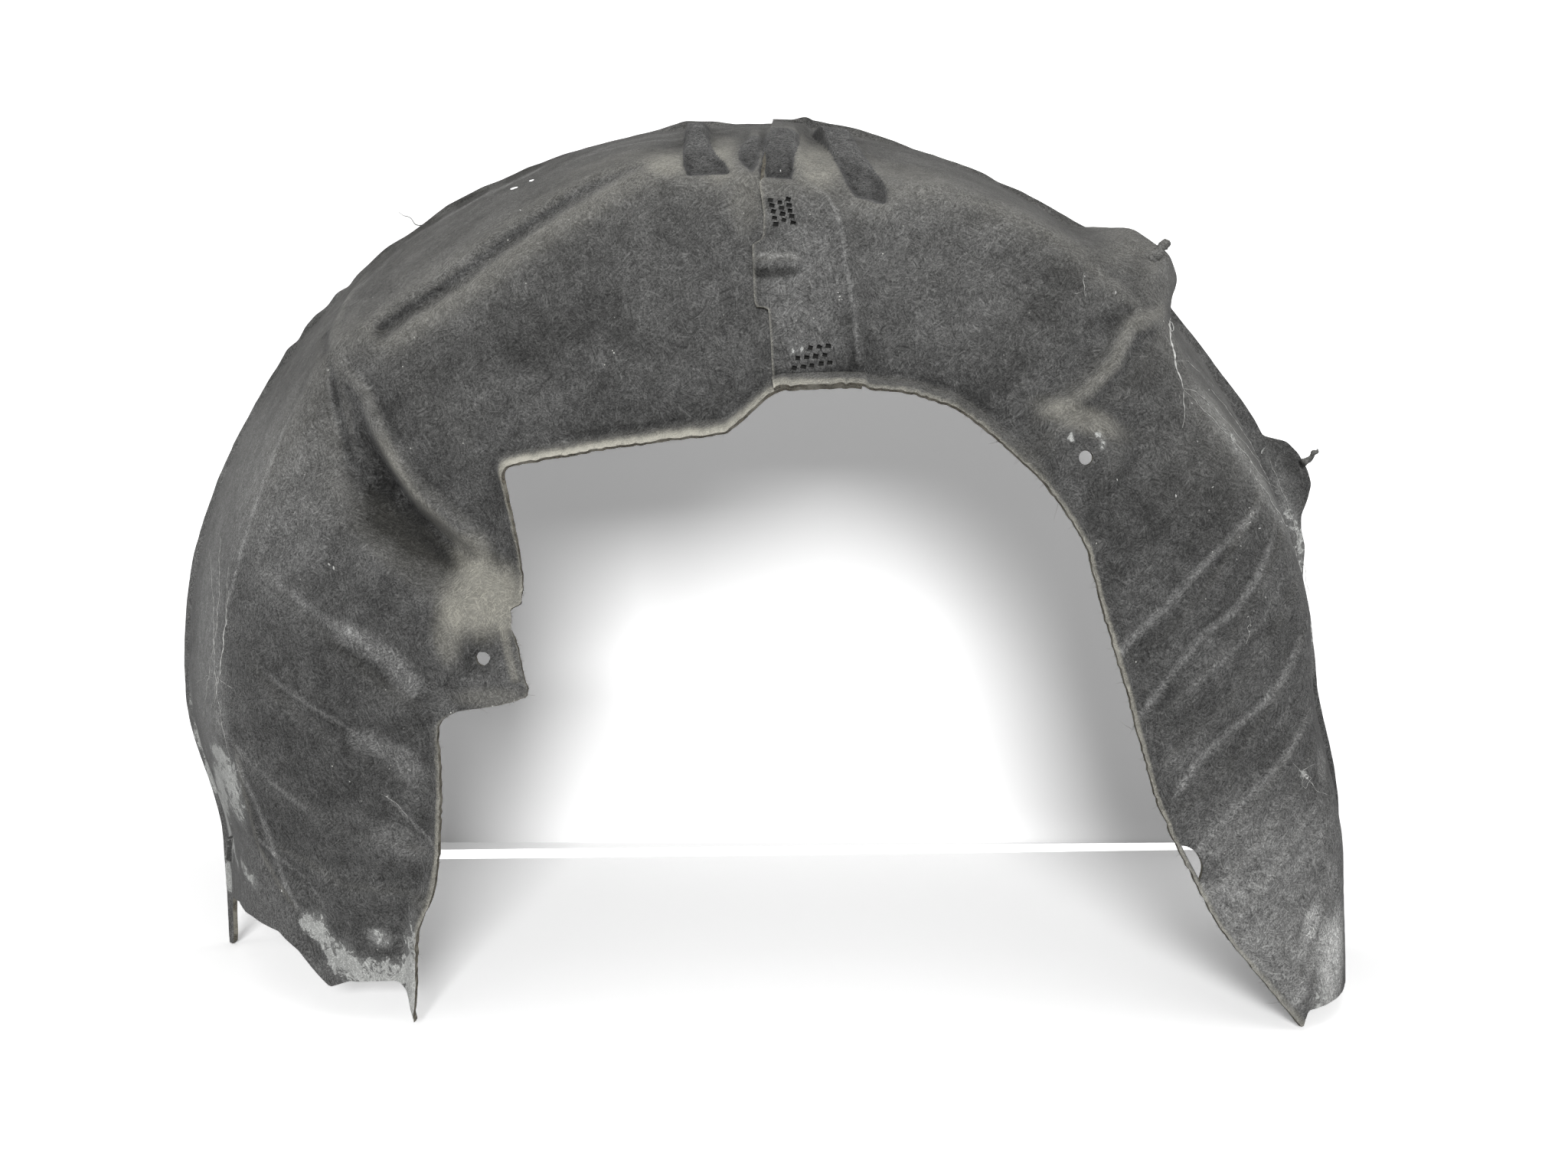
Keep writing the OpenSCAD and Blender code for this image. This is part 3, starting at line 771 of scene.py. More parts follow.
def blank_material(name, roughness, specular=0.5):
    """New material with its shader and the short hand for its nodes."""
    material = bpy.data.materials.new(name)
    material.use_nodes = True
    shader = material.node_tree.nodes["Principled BSDF"]
    shader.inputs["Roughness"].default_value = roughness
    shader.inputs["Specular IOR Level"].default_value = specular
    return material, shader, Nodes(material.node_tree)


# Marks on the felt. The TONE_AND_SHADING marks are partly the felt's own lighter and darker
# patches
# and partly painted light and shade: painted highlights along pleats, waves, ridges, rims and the
# left flank, and painted shade in the pocket, in recesses and under raised parts.
# Spots: x, z, two radii, turn, amount. Lines: half width, amount, then x, z of each point.
# LEFT_FOLD: z and x of the fold that bounds the left flank, which is painted lighter as painted
# light.
TONE_AND_SHADING_SPOTS = [
    (-300, 150, 50, 50, 0, 0.45), (-372, 40, 26, 110, 0, 0.6), (-350, 170, 22, 60, -20, 0.25),
    (120, 300, 60, 60, 0, 0.3), (350, -110, 60, 80, 0, 0.95), (394, -158, 14, 32, -10, 2.6),
    (-30, 290, 80, 60, 0, 0.15), (-200, 318, 44, 8, 38, -0.15), (-150, 45, 24, 24, 0, 0.25),
    (-273, 243, 8, 14, 0, -0.3), (-222, 275, 22, 20, 0, 0.12), (-285, -40, 90, 130, 0, 0.03),
    (320, 150, 30, 40, 0, -0.1), (275, 150, 45, 45, 0, -0.15), (325, -95, 70, 60, -30, 0.4),
    (398, -150, 12, 34, -10, 0.9), (22, 292.5, 13, 3.6, 0, -0.75), (35, 338, 22, 18, 0, -0.2),
    (8, 296, 4, 9, 0, -0.25), (69, 262, 2.5, 45, 4, -0.3), (-15, 405, 13, 6, 0, -0.3),
    (36, 405, 12, 6, 0, -0.3), (-165, 374, 60, 14, 24, -0.3), (-250, 330, 60, 14, 42, -0.3),
    (350, 226, 60, 12, -52, 0.25), (-105, 262, 62, 17, 25, -0.28), (-45, 255, 45, 16, 18, -0.16),
    (-30, 330, 60, 30, 5, -0.06), (-236, 142, 50, 24, -30, -0.36), (-203, 123, 24, 8, -32, -0.3),
    (-250, -18, 30, 50, 0, -0.14), (-285, 20, 40, 60, 10, -0.09), (-222, -67, 21, 9, -28, 0.61),
    (-238, -133, 8, 5, -30, 1.52), (386.8, -25.4, 5, 12, 0, 0.95), (376, -127, 6.5, 13, -25, 2.2),
    (366, -144, 8, 4, 20, 1), (393, -150, 16, 26, -15, 1.04), (395, -98, 6, 10, 0, 0.76),
    (285, -14, 20, 13, 35, 0.47), (310, -98, 26, 10, 10, 0.42), (345, -150, 40, 26, -40, 0.3),
    (-166, 55, 12, 15, 0, -0.45), (-300, 120, 40, 60, 0, 0.19), (42, 285, 24, 60, 0, 0.58),
    (190, 290, 60, 30, -35, -0.09), (230, 215, 30, 14, 35, -0.14), (300, 120, 50, 40, 0, -0.09)]
LEFT_FOLD = [
    (-200, -262), (-160, -275), (-123, -297), (-108, -312), (-83, -330), (-8, -341), (60, -346),
    (90, -341), (127, -328), (167, -311), (198, -298), (240, -285)]
TONE_AND_SHADING_LINES = [
    (5.5, 0.5, 285, 232, 292, 227, 312, 198, 333, 168, 360, 133, 385, 100),
    (5, 0.6, 384, 180, 399, 147, 411, 115, 418, 81, 421, 48, 421, 10),
    (3.2, -0.9, -173, 376, -158.3, 382.9, -143.7, 386.8),
    (3.2, -0.9, -209, 357.6, -196.2, 364.7, -183.4, 369.6),
    (3.2, -0.8, -243.9, 334.9, -230.9, 342.9, -216.2, 349.6),
    (1.7, 1.2, -212, 350, -184.5, 364.6, -168.4, 369.8, -154, 375.9, -141, 385),
    (1.7, 1.1, -245, 331, -217.1, 347.3, -206, 353),
    (2.5, 0.45, -278, 282, -269.6, 296.6, -260.4, 307.8, -251.3, 317.2, -240, 328),
    (1, 0.8, -268, 283, -255.6, 284.2, -249, 282.2),
    (6, 0.3, -70, 362, -82, 355.7, -110.2, 339.2, -131.5, 325.4, -157.1, 308.3, -181.2, 290,
     -190, 284),
    (5, -0.45, -243, 148, -225, 136, -205, 124.5, -183, 111.5, -176, 108),
    (4, -0.2, -292, 190, -312, 145, -326, 104, -332, 80),
    (3, 0.75, -306, 102, -286.4, 89.2, -273.6, 79.2, -254.2, 68.7, -240, 62),
    (6.5, 1.1, -260, 70, -241.6, 62.2, -226.5, 54, -213.7, 41, -205, 28),
    (4.5, -0.3, -272, 64, -248, 51, -234, 43, -222, 30),
    (1.6, 0.65, -316, 42, -293.5, 27.8, -276, 18.8, -258.7, 9.7, -243, -1),
    (6.5, 1, -254, 4, -238, -3, -226.5, -8, -214, -16, -204, -30),
    (5, -0.25, -262, -8, -243, -15, -230, -25, -220, -36),
    (1.1, 0.5, -280, 238, -294, 208, -313, 171), (1.1, 0.5, -266, 236, -262, 215, -258, 190),
    (1.2, 0.4, -262, 248, -246, 238, -236, 222),
    (7, -0.3, -152, 332, -132, 343, -102, 357, -69, 372, -41, 385, -30, 390),
    (2.2, 0.5, -113, 386, -93, 396.7, -67, 404, -36, 406),
    (1.2, 1.8, 10, 302.3, 20, 302.4, 33, 302.3, 38, 299.5),
    (1.2, 0.7, -120, 384.5, -60, 396, -20, 399),
    (2.2, 1.05, 338, 156, 325, 140, 314, 130, 288.9, 108.1, 266.3, 84.4, 237.9, 57.3, 230, 48),
    (2, 1.1, 347, 134, 329.7, 99.8, 313.2, 80.8, 291.9, 67, 272.3, 43, 248, 10),
    (1.9, 1.15, 368, 66, 354.1, 39.2, 337, 20.5, 309.4, 2.5, 289, -16.4, 273, -44),
    (1.8, 1.1, 374, 12, 360.8, -8.8, 343.7, -25, 321.4, -43, 300.6, -61.7, 288, -80),
    (1.6, 0.9, 388, -44, 367.4, -62.3, 355, -78, 336, -98),
    (1.2, 0.67, 355, 108, 335, 75.3, 318.1, 61.4, 297.2, 42.7, 274, 25),
    (0.9, 0.84, 372, 48, 355, 14, 335, -10), (1.1, 0.73, 394, -56, 377, -79, 358, -88),
    (3, 0.95, 392, -122, 376.5, -148.8, 365.8, -165.8, 356, -180),
    (1.2, 0.63, -353, 0, -319.5, -28.4, -283, -53),
    (1.7, 1.26, -342, -14, -328.4, -45.9, -319.4, -72.3, -308.6, -102.5, -293, -126),
    (1, 0.73, -330, -76, -288.8, -98.7, -276, -116),
    (0.7, 1.26, -230, -36, -209.8, -57.9, -195, -73),
    (1.3, 1.05, -294, 212, -304, 184.5, -311.4, 166.7, -320.2, 146.7, -328, 126.5, -334.7, 103.9,
     -343, 80),
    (1.2, 1, 40, 350, 54, 341, 61, 326, 65, 300, 70, 270, 74, 236)]
DUST_SPOTS = [
    (-13, 383, 10, 15, 0, 0.3), (37, 380, 12, 16, 0, 0.25), (-50, 372, 16, 9, 20, 0.2),
    (-163, 90, 26, 24, 0, 0.8), (-172, 118, 14, 14, -30, 0.4), (212, 203, 30, 9, -20, 0.35),
    (50, 366, 15, 22, -12, 0.45), (-14, 366, 11, 18, 0, 0.36), (-46, 364, 14, 10, 0, 0.4),
    (3, 338, 11, 20, 0, 0.16), (-86, 372, 34, 8, 14, 0.12), (100, 366, 36, 11, -16, 0.15),
    (-185, 70, 10, 20, 0, 0.45), (-158, 28, 24, 7, 0, 0.2)]
DUST_LINES = [
    (4, 0.15, 276, 277, 265.6, 270.6, 245.4, 260.4, 232.9, 237.8, 215.4, 219.2, 197.1, 208.3,
     180, 200),
    (4.5, 0.28, -231, 196, -222, 176, -205, 150, -176, 122),
    (2.6, 0.45, -150, 76, -146.5, 55, -142, 36),
    (1.6, 0.2, -340, -8, -330, -83, -311, -108, -295, -123)]
# Dust on the rolled lip by station
LIP_DUST_AT = [(-27, 0.62), (20, 0.68), (44, 0.55), (55, 0.55), (72, 0.6), (88, 0.85), (94, 1),
               (128, 1.1), (134, 0.65), (148, 0.4), (153, 0.2), (178, 0.2), (184, 0.6),
               (207, 0.9)]
MUD_SPOTS = [
    (-372, 20, 30, 100, 0, 0.15), (-352, -32, 16, 14, -30, 0.62), (-346, -54, 10, 20, 0, 0.6),
    (-362, -22, 10, 6, 0, 0.7), (-376, -62, 12, 28, -15, 0.7), (-386, -102, 7, 20, 0, 0.75),
    (-397, -134, 7, 15, 0, 0.6), (-348, -106, 10, 4, -25, 0.7), (-337, -110, 5, 6, 0, 0.5),
    (-291, -127, 6, 6, 30, 0.5), (-413, -30, 7, 14, 0, 0.65), (-403, -58, 12, 17, 0, 0.82),
    (-392, -78, 9, 16, 10, 0.78), (-366, -52, 9, 20, 25, 0.52), (-382, -98, 8, 10, 0, 0.52),
    (-372, -108, 12, 5, -30, 0.52), (-398, -140, 8, 12, 0, 0.65), (-286, -128, 11, 9, 40, 0.66),
    (-279, -136, 9, 8, 0, 0.6), (-266, -147, 15, 9, -20, 0.66), (-242, -157, 36, 11, 0, 0.72),
    (-238, -134, 10, 7, -20, 0.42), (-214, -150, 9, 32, 0, 0.62), (-213, -176, 7, 16, 0, 0.78),
    (32.3, 244.4, 1.7, 1.3, 0, 1.3), (38.1, 244.7, 1.5, 1.2, 0, 1.3),
    (368.6, -28.3, 3, 2.6, 0, 0.9), (382, -178, 10, 12, 0, 0.43), (-417, 0, 5, 25, 0, 0.38)]
MUD_LINES = [
    (4, 0.22, 281, 251, 314, 235, 351, 205, 384, 180, 399, 147, 411, 115),
    (5, 0.5, 399, 147, 411, 115, 418, 81, 421, 48, 421, 20),
    (6, 0.22, 285, 232, 292, 227, 312, 198, 333, 168, 360, 133, 385, 100),
    (1.6, 0.7, 220, 195, 224, 189, 223.5, 183), (1.2, 0.6, 204, 195, 205, 188)]


def blurred(p, cells):
    """Grid of points averaged over a square of cells, twice, for a soft window."""
    span = 2 * cells + 1
    for axis in (0, 1, 0, 1):
        p = np.moveaxis(p, axis, 0)
        ends = [np.repeat(p[k:k + 1], cells, axis=0) for k in (0, len(p) - 1)]
        run = np.cumsum(np.concatenate([0 * p[:1], ends[0], p, ends[1]]), axis=0)
        p = np.moveaxis((run[span:] - run[:-span]) / span, 0, axis)
    return p


def spots(x, z, rows):
    """Sum of soft turned ellipses: centre, radii, turn and amount in each row."""
    total = np.zeros_like(x)
    for cx, cz, rx, rz, turn, amount in rows:
        c, q = math.cos(math.radians(turn)), math.sin(math.radians(turn))
        u, v = (x - cx) * c + (z - cz) * q, (z - cz) * c - (x - cx) * q
        total = total + amount * fade(0.45, 1.35, np.hypot(u / rx, v / rz))
    return total


def lines(x, z, rows):
    """Sum of soft lines that fade at both ends: half width, amount, then points in each row."""
    total = np.zeros_like(x)
    for half, amount, *points in rows:
        d, share = line_distance(x, z, points)
        ends = window(-0.02, 0.12, 0.88, 1.02, share)
        total = total + amount * ends * fade(half * 0.4, half * 1.7, d)
    return total


def marks(p, n, stations, seam):
    """Dust, mud, tone and painted light and shade at each point of a shell's outer face, by place
    and relief.
    """
    x, y, z = p[..., 0], p[..., 1], p[..., 2]
    stations = np.broadcast_to(stations, x.shape)
    a, r = polar(x, z)
    from_edge = np.hypot(x - x[:, :1], z - z[:, :1])

    # Painted light on crests and painted shade in hollows: how far a point stands out of its
    # surroundings, away from the shell's edges. Crests also get a little dust.
    fine = np.sum((p - blurred(p, 3)) * n, axis=2)
    broad = np.sum((p - blurred(p, 8)) * n, axis=2)
    inside = smooth(0, 14, from_edge) * smooth(0, 8, np.hypot(x - x[:, -1:], z - z[:, -1:]))
    crest = np.clip(0.7 * fine + 0.2 * broad, -1, 1) * inside * mix(0.25, 1, smooth(40, 180, z))
    crest = crest * smooth(120, 108, y) * mix(0.3, 1, smooth(30, 50, np.hypot(x - 214, z - 179)))

    # The dusty lip; the slanting faces of the crown ribs, free of dust and a little darker as
    # painted shade; the slope under the groove, paler with dust and with painted light
    lip = table(LIP_DUST_AT, stations)
    wide = 2.2 + 4.4 * smooth(0.5, 1, lip)
    reach = np.hypot(x - outer_line(stations)[0], z - outer_line(stations)[1])
    faces = np.max([smooth(0.4, 0.7, rib_share(a, reach, rib) / rib[6])
                    * smooth(rib[4] - 2, rib[4] + 3, reach) for rib in RIBS], axis=0)
    under = window(3, 9, 12, 26, table(GROOVE_AT, a, 2) - r) * window(93, 100, 128, 136, a)

    dust = spots(x, z, DUST_SPOTS) + lines(x, z, DUST_LINES)
    dust = dust + 1.25 * lip * fade(wide * 0.4, wide, from_edge) + 0.14 * under
    dust = dust + 0.12 * np.clip(crest, 0, 1) * smooth(100, 200, z) - 1.2 * faces
    tone = spots(x, z, TONE_AND_SHADING_SPOTS) + lines(x, z, TONE_AND_SHADING_LINES) + 0.35 * crest
    tone = tone - 0.08 * faces + 0.07 * under
    # Painted light on the side-facing left flank beyond LEFT_FOLD
    tone = tone + 0.5 * smooth(2, -10, x - table(LEFT_FOLD, z)) * smooth(250, 190, z)
    mud = spots(x, z, MUD_SPOTS) + lines(x, z, MUD_LINES)
    for wx, wz in WELDS:
        tone = tone + 0.25 * fade(0.6, 1.2, np.hypot((x - wx) / 3.0, (z - wz + 1.2) / 2.4))
    # Painted highlight along the right shell's edge at the seam, with a little dust
    if seam:
        step = fade(0.5, 1.8, np.hypot(x - x[-1:], z - z[-1:])) * (y < 70)
        dust, tone = dust + 0.45 * step, tone + 0.3 * step
    return {"dust": dust * smooth(112, 70, y - 0.1 * np.abs(x)), "mud": mud, "tone": tone}


def felt_material(name, finish):
    """Needle felt: short fibres in three directions, clouds, dust, mud, lint, painted light and
    shade, and a bump.
    """
    material, shader, n = blank_material(name, 0.95, 0.15)
    mm = n.millimetres()
    bent = n.drifted(mm, 0.05, 1.0, 12)
    frayed = n.drifted(mm, 0.3, 2.0, 22)
    a, b, c = (n.noise(n.stretched(bent, turn, *STROKE), 1.0, 2.0, 0.6)
               for turn in (0.3, 1.3, 2.4))
    fibres = n.ramp(n.math("MAXIMUM", n.math("MAXIMUM", a, b), c), 0.52, 0.72)
    gaps = n.ramp(n.math("MINIMUM", n.math("MINIMUM", a, b), c), 0.28, 0.46, 0.45, 1.0)
    grain = n.noise(mm, 0.85, 2.0, 0.65)
    blotch = n.noise(mm, 0.06, 6.0, 0.74, 0.5)
    cloud = n.noise(n.stretched(frayed, -0.5, 55, 26), 1.0, 3.0, 0.6, 0.8)
    ragged = n.ramp(n.noise(n.stretched(frayed, 0.6, 14, 6), 1.0, 2.0), 0.3, 0.7, 0.6, 1.4)
    level = n.math("MULTIPLY_ADD", fibres, 0.6, n.ramp(grain, 0.25, 0.75, 0.0, 0.42))
    base = n.blend(level, (*finish.felt_dark, 1), (*finish.felt_fibre, 1))

    # Light and dark: clouds and blotches, the painted marks with their painted light and shade,
    # gaps, and painted shade where felt faces down
    up = n.add("ShaderNodeSeparateXYZ", {0: n.add("ShaderNodeNewGeometry", {}, output=1)}, 2)
    shade = n.math("MULTIPLY", n.ramp(cloud, 0.3, 0.7, 0.82, 1.18),
                   n.ramp(blotch, 0.36, 0.64, 0.8, 1.2))
    shade = n.math("MULTIPLY_ADD", n.mark("tone"), ragged, shade)
    shade = n.math("MULTIPLY", n.math("MAXIMUM", shade, 0.25), gaps)
    shade = n.math("MULTIPLY", shade, n.ramp(up, -0.4, 0.1, 0.72, 1.0))
    base = n.blend(1.0, base, shade, "MULTIPLY")

    # Dust where it is painted and a little on all that faces up, paler where it lies thick. The
    # pale tint on all that faces up is partly dust and partly painted light from above.
    dust = n.math("ADD", n.mark("dust"), n.ramp(up, 0.05, 0.7, 0.0, 0.12))
    dust = n.math("MULTIPLY", dust, n.ramp(n.math("ADD", fibres, blotch), 0.25, 1.2, 0.4, 1.0))
    dusty = n.blend(1.0, (*finish.dust, 1), n.ramp(n.mark("dust"), 0.9, 1.7, 1.0, 1.6),
                    "MULTIPLY")
    base = n.blend(dust, base, dusty)

    # Dried mud: flakes where the painted mark and a noise add up to more than 1, over a film
    flakes = n.ramp(n.noise(mm, 0.14, 6.0, 0.72, 1.0), 0.28, 0.72)
    mud = n.ramp(n.math("ADD", n.mark("mud"), flakes), 1.0, 1.13)
    mud = n.math("MAXIMUM", mud, n.math("MULTIPLY", n.mark("mud"), 0.4))
    mud = n.math("MULTIPLY", mud, n.ramp(n.math("ADD", fibres, blotch), 0.3, 1.3, 0.45, 1.0))
    base = n.blend(mud, base, (*finish.mud, 1))
    lint = n.add("ShaderNodeTexVoronoi", {"Vector": mm, "Scale": 0.085, "Randomness": 1.0})
    lint = n.math("MULTIPLY", n.ramp(lint, 0.035, 0.05, 1.0, 0.0), n.ramp(blotch, 0.45, 0.6))
    base = n.blend(lint, base, LINT)
    n.dress(shader, base, 0.6, n.math("MULTIPLY_ADD", grain, 0.6, fibres))
    shader.inputs["Sheen Weight"].default_value = 0.12
    shader.inputs["Sheen Roughness"].default_value = 0.45
    return material


def edge_material(name, finish):
    """Cut felt: brownish, with coarse layered fibres along the cut."""
    material, shader, n = blank_material(name, 1.0, 0.1)
    mm = n.millimetres()
    layers = n.noise(mm, 1.1, 3.0, 0.7, 0.5)
    patch = n.noise(mm, 0.12, 2.0)
    colour = n.blend(n.ramp(layers, 0.32, 0.7), (*finish.felt_dark, 1), (*finish.cut_edge, 1))
    colour = n.blend(n.ramp(patch, 0.35, 0.7, 0.0, 0.5), colour, (*finish.dust, 1))
    n.dress(shader, colour, 0.8, layers)
    return material


def plain_material(name, colour, mottle):
    """Matt material whose colour wavers by the mottle share, for pits, threads and fibres."""
    material, shader, n = blank_material(name, 0.9)
    waver = n.ramp(n.noise(n.millimetres(), 0.4), 0.3, 0.7, 1 - mottle, 1 + mottle)
    n.dress(shader, n.blend(1.0, (*colour, 1), waver, "MULTIPLY"))
    return material


def colour_setting(name, description, *default):
    """Colour that a user can change."""
    return FloatVectorProperty(name=name, description=description, subtype="COLOR", size=3,
                               min=0, max=1, default=default)


class LinerSizes(PropertyGroup):
    """Sizes of the liner that a user would change."""
    felt_t: FloatProperty(name="Felt thickness", description="Thickness of the moulded felt",
                          default=0.003, min=0.002, max=0.004, unit="LENGTH")
    row_step: FloatProperty(name="Row step", description="Distance between rows of the mesh",
                            default=0.0023, min=0.0018, max=0.006, unit="LENGTH")
    fibres: IntProperty(name="Loose fibres", description="Loose fibres along the cut edges",
                        default=900, min=0, max=3000)


class LinerFinish(PropertyGroup):
    """Colours of the liner."""
    felt_dark: colour_setting("Felt", "Colour between the fibres", 0.052, 0.052, 0.0515)
    felt_fibre: colour_setting("Fibres", "Colour of the pale fibres", 0.189, 0.189, 0.185)
    dust: colour_setting("Dust", "Colour of the settled dust", 0.46, 0.445, 0.385)
    mud: colour_setting("Dried mud", "Colour of the dried mud", 0.66, 0.67, 0.65)
    pit: colour_setting("Weld pits", "Colour of the pressed weld pits", 0.01, 0.01, 0.009)
    cut_edge: colour_setting("Cut edge", "Colour of the cut felt", 0.25, 0.225, 0.175)


def cut_out_outline():
    """Outline of the cut-out: a segment of a circle, tilted, beside the right leg's edge."""
    radius = (CUT_LEN ** 2 / 4 + CUT_W ** 2) / (2 * CUT_W)
    half = math.asin(CUT_LEN / 2 / radius)
    ex, ez = (float(v[0]) for v in inner_line(np.array([CUT_STATION])))
    segment = [(radius * (math.cos(t) - 1) + CUT_W, radius * math.sin(t))
               for t in np.linspace(-half, half, 24)]
    return turned(segment, ex + CUT_STRIP / math.cos(math.radians(CUT_TURN)), ez, CUT_TURN)


def weld_pit(x, z, front, k):
    """Small square pit of one weld spot, pressed into the strip and a little turned."""
    near = np.hypot(front[..., 0] - x, front[..., 2] - z) + 50 * (front[..., 1] > STRIP_Y)
    y = front[..., 1].flat[near.argmin()]
    w, h = PIT_R[0] + 0.15 * math.sin(2.1 * k), PIT_R[1] + 0.15 * math.sin(3.7 * k)
    corners = [(-w, -h), (w, -h * 0.9), (w * 0.95, h), (-w * 0.9, h)]
    return prism(turned(corners, x, z, -10 + 7 * math.sin(5.3 * k)), y - 6, y + PIT_D, 2)


class LINER_OT_left_shell(Operator):
    """Build the left shell, with the fixing tab and the foot"""
    bl_idname = "liner.left_shell"
    bl_label = "Left shell"

    def execute(self, context):
        cuts = [prism(ellipse(*TAB_HOLE, HOLE_R, HOLE_R, 0, 0.05), *HOLE_DEPTHS)]
        cuts += [prism(ellipse(*row), *SLOT_DEPTHS, 1, SLOT_LEAN, SLOT_Y) for row in FLANGE_SLOTS]
        build_shell("left_felt", "left_shell", left_rows(), 0, cuts)
        return {"FINISHED"}


class LINER_OT_right_shell(Operator):
    """Build the right shell, which laps over the left one at the crown"""
    bl_idname = "liner.right_shell"
    bl_label = "Right shell"

    def execute(self, context):
        grid = right_rows()
        p = outer_face(grid)
        lift = right_lift(grid, p)
        front = p + face_normals(p) * lift[..., None]
        cuts = [prism(ellipse(*PAD_HOLE, HOLE_R, HOLE_R, 0, 0.01), *HOLE_DEPTHS),
                prism(cut_out_outline(), *CUT_OUT_DEPTHS)]
        cuts += [weld_pit(x, z, front, k) for k, (x, z) in enumerate(WELDS)]
        build_shell("right_felt", "right_shell", grid, lift, cuts)
        return {"FINISHED"}


# Cobweb threads: radius, then x, z of each point. Specks: x, z, radius.
THREADS = [
    (0.55, 276, 267, 274.6, 261, 274.6, 254, 276.1, 240.8, 279, 231.5, 281.7, 223),
    (0.3, 276, 267, 279, 265.5, 280, 262, 277, 260, 275, 264, 277, 269),
    (0.18, 281.7, 223, 282, 216, 281.4, 208.9, 280, 197.7), (0.14, 281.7, 223, 290, 222, 300, 216),
    (0.14, 276, 240, 289, 242, 304, 236),
    (0.14, 281.7, 223, 300, 206, 325, 183, 337, 168.7, 366, 158, 389, 143, 402, 118),
    (0.16, 300, 216, 328, 190, 352, 172, 380, 150, 398, 128, 411, 102, 417, 70),
    (0.14, 327.9, 171.7, 337.2, 160.3, 356.7, 136.9, 385, 118, 409.8, 100),
    (0.18, 384, 180, 399, 147, 411, 115, 418, 81, 421, 48),
    (0.13, 314, 225, 345, 195, 372, 172, 390, 158),
    (0.15, 216.2, 294.3, 215.2, 290, 216, 286.8, 214.8, 283, 215.9, 280.3),
    (0.13, 214.8, 283, 211, 281.5, 209, 282),
    (0.15, -362.9, 125.4, -354.5, 90.6, -355.4, 65.2, -371, 20.4, -381.4, -4.2),
    (0.24, -341.2, 92, -343, 75, -346.4, 58.3, -350, 42, -353.2, 28.5, -359, 12),
    (0.13, -342.9, 107.1, -343.7, 76.9, -349, 45.7, -362, 10),
    (0.13, -391.8, 20, -370, 30, -354.1, 32.1, -338.2, 26.6),
    (0.13, -376, 110, -362, 80, -358, 40, -352, 10, -346, -20),
    (0.12, -232, -36, -228.4, -37.7, -219.9, -45.4, -215, -51),
    (0.13, 369.2, -28.4, 366, -34, 371, -38, 375, -31, 368, -26, 378, -22),
    (0.13, 360, -20, 369, -28, 380, -40, 392, -46),
    (0.14, 323.5, 78.1, 325.5, 74, 323, 71, 325.5, 68, 322, 60)]
SPECKS = [
    (325.8, 147.2, 0.7), (326.2, 143.5, 0.5), (325.3, 137.9, 0.6), (332.7, 134, 0.9),
    (317.5, 128.7, 0.5), (318.1, 123.1, 0.5), (315, 114.8, 0.6), (336.3, 89.8, 0.8),
    (323.5, 78.1, 0.6), (325.5, 72.4, 0.7), (324.6, 68.7, 0.6), (289.6, 189.3, 0.7),
    (287.3, 213.7, 0.7), (273.5, 155.1, 1), (299.3, 160.5, 0.8), (234.1, 165.3, 0.7),
    (236.3, 282.7, 1.1), (241.1, 278.1, 0.6), (216.1, 292.4, 0.7), (308, 223.9, 0.5),
    (-228.4, -37.7, 0.8), (-310, -109.8, 0.9), (-253.7, -29, 0.6), (-226.7, -19.8, 0.5),
    (-219.9, -45.4, 0.5), (-279, -123.9, 1), (24.8, 359.3, 0.8), (-263.4, 111.4, 1.1),
    (-260.2, 109, 1.3), (-157.8, 363.2, 0.7), (-141.5, 336.4, 0.8), (-281, 168.2, 0.6),
    (369.2, -28.4, 1.6), (371.5, -30.5, 1.2), (61.5, 278, 0.8), (62.6, 276.2, 0.7),
    (60.4, 280.4, 0.6)]
# Torn nubs: root x, z, tip x, z, depth, radius
NUBS = [(264, 306.5, 280, 320.5, 46, 6.8), (408, 175, 419, 186.5, 124, 3.6),
        (-233, 344.5, -249.3, 355.1, 122, 0.55)]


def shells_tree():
    """Search tree over both shells as they are built, in metres."""
    points, faces = [], []
    for name in ("left_felt", "right_felt"):
        mesh = bpy.data.objects[name].data
        faces += [[len(points) + k for k in face.vertices] for face in mesh.polygons]
        points += [v.co.copy() for v in mesh.vertices]
    return BVHTree.FromPolygons(points, faces)


def front_depth(tree, x, z):
    """Depth of the outer face at x, z: where a ray from the body side meets it."""
    start = Vector((np.array([x, PROBE_Y, z]) + CENTRE) / 1000)
    hit = tree.ray_cast(start, Vector((0, 1, 0)))[0]
    return MISS_Y if hit is None else hit.y * 1000 - CENTRE[1]


def tube(points, radii, sides, wave=0.0, seed=0):
    """Tube round a line of points: rings across its direction, closed at both ends."""
    points = np.asarray(points, float)
    way = np.gradient(points, axis=0)
    way /= np.maximum(np.linalg.norm(way, axis=1, keepdims=True), 1e-9)
    side = np.cross(way, [0.13, 1.0, 0.31])
    side /= np.maximum(np.linalg.norm(side, axis=1, keepdims=True), 1e-9)
    other = np.cross(way, side)
    rng = np.random.default_rng(seed)
    rings = []
    for k in range(sides):
        t = 2 * math.pi * k / sides
        radius = np.asarray(radii) * (1 + wave * rng.uniform(-1, 1, len(points)))
        rings.append(points + radius[:, None] * (math.cos(t) * side + math.sin(t) * other))
    out = np.stack(rings, axis=1).reshape(-1, 3)
    faces = [[r * sides + k, r * sides + (k + 1) % sides, (r + 1) * sides + (k + 1) % sides,
              (r + 1) * sides + k] for r in range(len(points) - 1) for k in range(sides)]
    faces += [list(range(sides))[::-1], list(range(len(out) - sides, len(out)))]
    return out, faces


